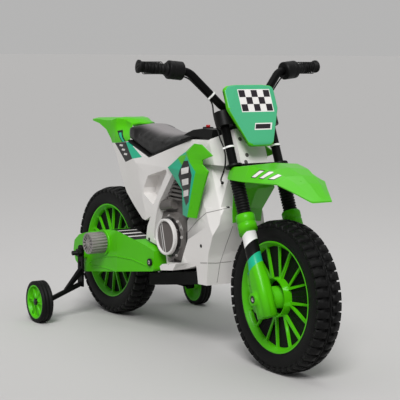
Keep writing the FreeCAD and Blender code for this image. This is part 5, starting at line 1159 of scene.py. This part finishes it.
@dataclass
class Body:
    """The white body with its shrouds, engine, console and prints, and painted shade and highlights."""

    heads: HeadTree
    beads: BeadTree
    stripe: Outline = ((-300.0, 466.0), (-218.0, 466.0), (-174.0, 423.0), (-219.0, 411.0))
    panel: Outline = ((-218.0, 466.0), (-205.0, 466.0), (-126.0, 431.0), (-174.0, 423.0))
    # A black patch on the shell between the rear fender and the seat: a painted shadow.
    shade: Outline = ((-216.0, 462.0), (-216.0, 520.0), (-188.0, 520.0), (-188.0, 462.0))
    dash_from: Pair = (-255.0, 448.5)
    dash_pitch: Pair = (13.0, -10.0)
    dash_size: Triple = (20.0, 5.0, 4.0)
    shroud_side: Outline = ((153.4, 420.8), (-46.6, 556.8), (-300.0, 300.0), (70.0, 188.0))
    shroud_patch: Outline = (
        (62.0, 404.0), (90.0, 440.0), (116.0, 443.0), (138.0, 412.0),
        (124.0, 350.0), (102.0, 338.0), (82.0, 357.0),
    )
    shroud_tip: Outline = ((44.0, 446.0), (104.0, 456.0), (84.0, 429.0))
    shroud_bars: Triple = (356.0, 382.0, 408.0)
    shroud_bar: Outline = ((80.0, 0.0), (120.0, 8.0), (120.0, 22.0), (80.0, 14.0))
    shroud_cut: float = 0.6
    seams: tuple[tuple[float, Outline], ...] = (
        (70.0, ((82.0, 272.0), (120.0, 302.0), (161.0, 328.0), (248.0, 349.0))),
        (60.0, ((125.0, 208.0), (189.0, 217.0), (254.0, 231.0))),
        (55.0, ((187.0, 172.0), (198.0, 218.0), (221.0, 262.0), (247.0, 308.0))),
    )
    screws: tuple[Triple, ...] = ((197.8, 35.5, 343.5), (140.1, 68.9, 249.7), (-55.0, 90.0, 241.0))
    slots: tuple[Triple, ...] = ((226.4, -25.5, 497.7), (241.6, -16.6, 463.1), (248.1, -23.5, 448.4))
    bolts: tuple[float, ...] = (5.0, 52.0, 100.0, 200.0, 305.0)
    clutch: Pair = (0.0, 252.7)
    bolt_circle: float = 50.0
    # Painted shade: a dark ring round the clutch and a dark slot beside it, where the engine's crevices fall
    # in shade.
    clutch_gap: float = 47.5
    gap_centre: Pair = (1.5, 252.0)
    lens: Pair = (0.0, 252.8)
    lens_radius: float = 37.5
    lens_colour: Triple = (0.085, 0.072, 0.066)
    # Painted highlights: bright and dark bands across the clutch's disc, a painted reflection.
    streak_radius: float = 37.0
    streak_top: float = 284.0
    streak_run: Pair = (-70.0, 20.0)
    streaks: tuple[tuple[float, float, Triple], ...] = (
        (-31.0, 4.0, (0.40, 0.39, 0.38)),
        (-25.0, 2.0, (0.02, 0.02, 0.02)),
        (-22.0, 3.0, PALE),
    )
    # The colour of the painted shade in the engine's crevices.
    gap: Triple = (0.012, 0.011, 0.011)
    engine_slot: Outline = ((56.0, 238.0), (62.0, 244.0), (62.0, 274.0), (56.0, 268.0))

    def build(self) -> None:
        """Dresses the body."""
        shell = Finish("shell", "white_plastic", PALE, roughness=0.38, mottle=0.03, decals=self._tail())
        for side in Side:
            self._trim(side)
        for side in Side:
            shroud = replace(LIME, name=f"{side.label}_shroud", decals=self._shroud(side))
            skin(f"{side.label}_body_shell", shell, angle=16.0, flat=True)
            skin(f"{side.label}_shroud", shroud, angle=24.0, flat=True)
            skin(f"{side.label}_engine_cover", self._engine(), angle=26.0, flat=True)
        skin("clutch_rings", RING)
        skin("console", BLACK, 1.0)
        skin("button_bezel", BLACK)
        skin("power_button", RED)
        skin("charging_socket", BLACK)

    def _trim(self, side: Side) -> None:
        """Lays the seams, the screws, the dark discs painted as shade in the head panel's holes and the
        engine's bolts on one side.

        Args:
            side: The side of the bike.
        """
        name = side.label
        part = f"{name}_body_shell"
        body = body_of(part)
        lines = [[spot for spot, _ in draped(part, line, side, -0.2, depth)] for depth, line in self.seams]
        self.beads.run(f"{name}_seams", seed_lines("seams", lines), SEAM, body, Radius=0.9)
        spots = [draped(part, ((x, z),), side, depth=y)[0] for x, y, z in self.screws]
        self.heads.run(f"{name}_screws", seed_points("screws", spots), SCREW, body, Radius=3.5, Lip=0.7)
        if side is Side.RIGHT:
            # Dark discs in the head panel's holes, as painted shade.
            spots = [(Vector(slot) * MM, Vector(FORK_AHEAD)) for slot in self.slots]
            self.heads.run("head_sockets", seed_points("sockets", spots), HOLE_SHADE, body, Radius=4.2, Lip=0.6)
        spots = []
        for turn in map(math.radians, self.bolts):
            place = Vector(self.clutch) + Vector((math.cos(turn), math.sin(turn))) * self.bolt_circle
            spots.extend(draped(f"{name}_engine_cover", (tuple(place),), side))
        self.heads.run(f"{name}_engine_bolts", seed_points("bolts", spots), BOLT, body, Radius=2.8, Lip=1.0)

    def _tail(self) -> tuple[Decal, ...]:
        """Draws the two slanted stripes below the tail and a black painted shadow between the rear fender and
        the seat.

        Returns:
            The stripes, the painted shadow and three plain dashes.
        """
        # The second outline is painted black as a painted shadow.
        prints = [Decal(INK, SIDE_VIEW, outline) for outline in (self.stripe, self.shade)]
        prints.append(Decal(SEA, SIDE_VIEW, self.panel))
        for place in range(3):
            x, z = Vector(self.dash_from) + Vector(self.dash_pitch) * place
            prints.append(Decal(PALE, SIDE_VIEW, slanted(x, z, *self.dash_size)))
        return tuple(prints)

    def _engine(self) -> Finish:
        """Gives the engine dummy's finish, with painted shade in the crevices round the clutch and bright and
        dark painted highlight bands across the clutch's disc.

        Returns:
            The finish.
        """
        prints = [
            # Painted shade round the clutch and in the slot beside it.
            Decal(self.gap, SIDE_VIEW, radius=self.clutch_gap, centre=self.gap_centre),
            Decal(self.gap, SIDE_VIEW, self.engine_slot),
            Decal(self.lens_colour, SIDE_VIEW, radius=self.lens_radius, centre=self.lens),
        ]
        # Painted highlight bands across the clutch's disc.
        for x, wide, colour in self.streaks:
            outline = slanted(x, self.streak_top, wide, *self.streak_run)
            prints.append(Decal(colour, SIDE_VIEW, outline, radius=self.streak_radius, centre=self.lens))
        return Finish(
            "engine", "graphite_plastic", (0.105, 0.096, 0.090), roughness=0.32, mottle=0.5, coat=0.1,
            decals=tuple(prints),
        )

    def _shroud(self, side: Side) -> tuple[Decal, ...]:
        """Draws a shroud's teal side with a plain motif.

        Args:
            side: The side of the bike.

        Returns:
            The prints.
        """
        shapes = [(SEA, self.shroud_side), (GREEN, self.shroud_tip), (INK, self.shroud_patch)]
        for low in self.shroud_bars:
            shapes.append((PALE, tuple((x, low + z) for x, z in self.shroud_bar)))
        return printed(shapes, SIDE_VIEW, side.outward, self.shroud_cut)


@dataclass
class Seat:
    """The padded seat on its black base."""

    rows: RowTree
    shrink: float = 2.0
    voxel: float = 4.0
    swell: float = 3.5
    half_width: float = 62.0
    arch: float = 12.0
    arch_power: float = 2.2
    rear: float = -204.0
    rear_run: float = 45.0
    tuck_from: float = -190.0
    tuck: float = 14.0
    tuck_widen: float = 0.08
    rear_lift: float = 4.0
    lift_run: Pair = (168.0, 198.0)
    lift_rise: Pair = (10.0, 28.0)
    # Where the painted highlight on the seat's top fades out, across and up, in millimetres.
    top_edge: Pair = (16.0, 51.0)
    top_rise: Pair = (14.0, 30.0)
    floor_line: Outline = ((-203.0, 468.0), (-98.0, 436.6), (84.0, 493.0))
    wall: float = 30.0
    pressure: float = 4.0
    steps: int = 20
    held_below: float = -0.35
    thread_pitch: float = 5.0
    thread_radius: float = 0.5
    thread_points: int = 24
    thread_run: Pair = (0.06, 0.86)
    thread_slice: float = 4.0
    thread_lift: float = 0.2
    shoulder: Pair = (0.62, 0.78)

    def build(self) -> None:
        """Builds the pad, its seams and its base."""
        skin("seat_base", BLACK, 1.0)
        self._seams(self._pad())

    def _pad(self) -> Object:
        """Swells a slightly smaller copy of the cushion like a foam pad under its cover.

        Returns:
            The pad.
        """
        shape = merged("seat_cushion")
        shape.normal_update()
        for vertex in shape.verts:
            vertex.co -= Vector((0.0, vertex.normal.y, vertex.normal.z)) * self.shrink * MM
        item = linked("seat_pad", meshed("seat_pad", shape))
        remesh = item.modifiers.new("even", "REMESH")
        remesh.mode = "VOXEL"
        remesh.voxel_size = self.voxel * MM
        apply(item)
        self._arch(item.data)
        self._inflate(item)
        soften = item.modifiers.new("soften", "SMOOTH")
        soften.factor = 0.5
        soften.iterations = 4
        finer = item.modifiers.new("finer", "SUBSURF")
        finer.levels = 1
        finer.render_levels = 1
        apply(item)
        self._fit(item.data)
        item.data.shade_smooth()
        self._crown(item.data)
        settle(item, VINYL, body_of("seat_cushion"))
        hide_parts("seat_cushion")
        return item

    def _floor(self, x: float) -> float:
        """Gives the height of the pad's floor.

        Args:
            x: The place along the bike in millimetres.

        Returns:
            The height in millimetres.
        """
        for (start, low), (end, high) in zip(self.floor_line, self.floor_line[1:]):
            if x <= end:
                return low + (high - low) * (x - start) / (end - start)
        return self.floor_line[-1][1]

    def _arch(self, mesh: Mesh) -> None:
        """Rounds the pad's top off to the sides, less so at its rear end.

        Args:
            mesh: The pad's mesh.
        """
        for vertex in mesh.vertices:
            x, y, z = (value / MM for value in vertex.co)
            share = step(z - self._floor(x), 0.0, self.wall) * step(x, self.rear, self.rear + self.rear_run)
            out = min(1.0, abs(y) / self.half_width)
            vertex.co.z -= self.arch * MM * share * out ** self.arch_power

    def _fit(self, mesh: Mesh) -> None:
        """Brings the pad's softened rear end back to the fender and tucks its end under the lip.

        Args:
            mesh: The pad's mesh.
        """
        low = min(vertex.co.x for vertex in mesh.vertices) / MM
        start = self.rear + self.rear_run
        for vertex in mesh.vertices:
            x, y, z = (value / MM for value in vertex.co)
            x += (self.rear - low) * step(-x, -start, -low)
            x -= self.tuck * step(-x, -self.tuck_from, -self.rear)
            rear = ramp(-x, *self.lift_run)
            rise = ramp(z - self._floor(x), *self.lift_rise)
            out = min(1.0, abs(y) / self.half_width)
            z += self.rear_lift * rear * rise * out * out
            vertex.co = Vector((x, y * (1.0 + self.tuck_widen * rear), z)) * MM

    def _inflate(self, item: Object) -> None:
        """Lets the pad swell under pressure and caps how far each point moves.

        Args:
            item: The pad.
        """
        rest = [vertex.co.copy() for vertex in item.data.vertices]
        held = item.vertex_groups.new(name="held")
        held.add([v.index for v in item.data.vertices if v.normal.z < self.held_below], 1.0, "REPLACE")
        cloth = item.modifiers.new("cover", "CLOTH")
        cloth.settings.vertex_group_mass = "held"
        cloth.settings.use_pressure = True
        cloth.settings.uniform_pressure_force = self.pressure
        cloth.settings.effector_weights.gravity = 0.0
        cloth.settings.quality = 6
        cloth.point_cache.frame_start = 1
        cloth.point_cache.frame_end = self.steps
        scene = bpy.context.scene
        for moment in range(1, self.steps + 1):
            scene.frame_set(moment)
        graph = bpy.context.evaluated_depsgraph_get()
        swollen = [vertex.co.copy() for vertex in item.evaluated_get(graph).data.vertices]
        item.modifiers.clear()
        scene.frame_set(1)
        for vertex, start, end in zip(item.data.vertices, rest, swollen):
            move = end - start
            if move.length > self.swell * MM:
                move *= self.swell * MM / move.length
            vertex.co = start + move
        item.vertex_groups.clear()

    def _crown(self, mesh: Mesh) -> None:
        """Marks how far each point belongs to the pad's lit top, which gets the lighter colour as a painted
        highlight.

        Args:
            mesh: The pad's mesh.
        """
        crown = mesh.attributes.new("crown", "FLOAT", "POINT")
        inner, outer = self.top_edge
        for vertex in mesh.vertices:
            x, y, z = (value / MM for value in vertex.co)
            share = step(-abs(y), -outer, -inner) * step(z - self._floor(x), *self.top_rise)
            crown.data[vertex.index].value = ramp(share, 0.0, 1.0)

    def _seams(self, pad: Object) -> None:
        """Sews the top panel to the sides along both shoulders.

        Args:
            pad: The pad.
        """
        points = [vertex.co for vertex in pad.data.vertices]
        low, high = span(points, 0)
        first, run = self.thread_run
        lines = []
        for side in Side:
            way = Vector((0.0, self.shoulder[0] * side.value, self.shoulder[1]))
            line = []
            for place in range(self.thread_points):
                x = low + (high - low) * (first + run * place / (self.thread_points - 1))
                near = [point for point in points if abs(point.x - x) < self.thread_slice * MM]
                near = [point for point in near if point.y * side.value > 0.0]
                line.append(max(near, key=way.dot) + way * self.thread_lift * MM)
            lines.append(line)
        sizes = {"Pitch": self.thread_pitch, "Radius": self.thread_radius}
        seed = seed_lines("stitches", lines)
        self.rows.run("seat_stitches", seed, THREAD, body_of("seat_cushion"), **sizes)


@dataclass
class Tail:
    """The rear fender, the swing arms, the drive and the stabilisers."""

    beads: BeadTree
    pivot: Pair = (-54.0, 185.0)
    motor: Pair = (-264.0, 206.0)
    motor_slots: int = 14
    slot_shape: Outline = ((11.0, -0.9), (22.5, -1.7), (22.5, 1.7), (11.0, 0.9))
    # The slots' dark colour is painted shade on the motor cap's end face.
    slot_colour: Triple = (0.03, 0.028, 0.027)
    slot_cut: float = 0.8
    tongue_rise: Pair = (468.0, 500.0)
    tongue_run: Pair = (-330.0, -215.0)
    tongue_half: float = 58.0
    tongue_sweep: float = 34.0
    tongue_narrow: float = 0.42
    tongue_power: float = 1.2
    flash: tuple[Outline, Outline] = (
        ((-284.0, 484.0), (-266.0, 488.0), (-214.0, 459.0), (-234.0, 455.0)),
        ((-272.0, 480.0), (-263.0, 482.0), (-222.0, 459.0), (-232.0, 457.0)),
    )
    arm_stripe: Outline = ((-226.0, 230.0), (-226.0, 260.0), (-118.0, 260.0), (-124.0, 222.0))
    arm_bars: Triple = (-200.0, -176.0, -152.0)
    arm_bar: Triple = (220.0, 7.0, 40.0)
    arm_cut: float = 0.75
    ridges: tuple[Outline, ...] = (
        ((-340.0, 144.0), (-300.0, 158.0), (-249.0, 172.0), (-203.0, 179.0), (-131.0, 181.0), (-72.0, 174.0)),
        ((-340.0, 136.0), (-249.0, 142.0), (-160.0, 140.0)),
    )

    def build(self) -> None:
        """Dresses the rear of the bike."""
        flash = tuple(Decal(colour, SIDE_VIEW, outline) for colour, outline in zip((INK, SEA), self.flash))
        fender = replace(LIME, name="rear_fender", decals=flash)
        skin("rear_fender", fender, angle=24.0, flat=True, bend=self._tongue)
        arm = replace(LIME, name="arm", decals=self._stripe())
        for side in Side:
            part = f"{side.label}_swing_arm"
            skin(part, arm, angle=20.0, flat=True)
            skin(f"{side.label}_stabiliser_bracket", FRAME, 0.8)
            lines = [[spot for spot, _ in draped(part, line, side)] for line in self.ridges]
            seed = seed_lines("ridges", lines)
            self.beads.run(f"{side.label}_arm_ridges", seed, LIME, body_of(part), Radius=1.6)
        bolt = bolt_end("pivot_bolt", (0.008, 0.008, 0.008), (0.36, 0.35, 0.34), self.pivot, (4.6, 2.2))
        skin("swing_arm_bolts", bolt)
        skin("motor_cap", self._motor())
        skin("rear_axle_nuts", DARK_STEEL)
        skin("stabiliser_bolts", DARK_STEEL)
        skin("drive_motor", STEEL)
        skin("gearbox", BLACK)

    def _tongue(self, place: Vector) -> Vector:
        """Draws the fender's top in to a rounded tongue behind the seat.

        Args:
            place: A point of the fender in metres.

        Returns:
            The point's new place.
        """
        share = ramp(place.z / MM, *self.tongue_rise) * ramp(place.x / MM, *self.tongue_run)
        out = abs(place.y) / MM / self.tongue_half
        back = self.tongue_sweep * out ** self.tongue_power * share * MM
        return Vector((place.x - back, place.y * (1.0 - self.tongue_narrow * share), place.z))

    def _stripe(self) -> tuple[Decal, ...]:
        """Draws the dark stripe along the arm's sloping top.

        Returns:
            The stripe and its plain bars.
        """
        shapes = [(INK, self.arm_stripe)]
        shapes.extend((PALE, slanted(x, *self.arm_bar)) for x in self.arm_bars)
        return printed(shapes, SIDE_VIEW, UPWARD, self.arm_cut)

    def _motor(self) -> Finish:
        """Gives the motor cap's finish, with its slots round the end face painted dark as painted shade.

        Returns:
            The finish.
        """
        shapes = []
        for place in range(self.motor_slots):
            angle = 2.0 * math.pi * place / self.motor_slots
            way = Vector((math.cos(angle), math.sin(angle)))
            aside = Vector((-way.y, way.x))
            corners = (Vector(self.motor) + way * far + aside * half for far, half in self.slot_shape)
            shapes.append((self.slot_colour, tuple(tuple(corner) for corner in corners)))
        # The slots are painted dark as painted shade.
        slots = printed(shapes, SIDE_VIEW, Side.RIGHT.outward, self.slot_cut)
        grey = (0.215, 0.200, 0.190)
        return Finish("motor", "silver_plastic", grey, roughness=0.36, mottle=0.1, decals=slots)


class Chassis:
    """The frame and what is hidden in the body."""

    def build(self) -> None:
        """Dresses the frame, the battery, the control unit and the bushes."""
        skin("chassis_frame", FRAME)
        skin("battery", GRAPHITE)
        skin("control_unit", BLACK)
        skin("head_bushes", BLACK)


def main() -> None:
    """Builds the stage and every sub-assembly in order."""
    logging.basicConfig(level=logging.INFO, format="%(message)s")
    stage = Stage()
    stage.camera()
    Cables().build()
    stage.build()
    heads = HeadTree("screw_heads", {"Radius": 3.0 * MM, "Lip": 0.8 * MM})
    rows = RowTree("stitch_rows", {"Pitch": 5.0 * MM, "Radius": 0.5 * MM})
    beads = BeadTree("surface_beads", {"Radius": 1.0 * MM})
    hoops = HoopTree("grip_hoops", {"Pitch": 5.0 * MM, "Radius": 14.0 * MM, "Bead": 0.9 * MM})
    Wheels().build()
    Fork().build()
    Controls(hoops).build()
    Body(heads, beads).build()
    Seat(rows).build()
    Tail(beads).build()
    Chassis().build()


if __name__ == "__main__":
    main()
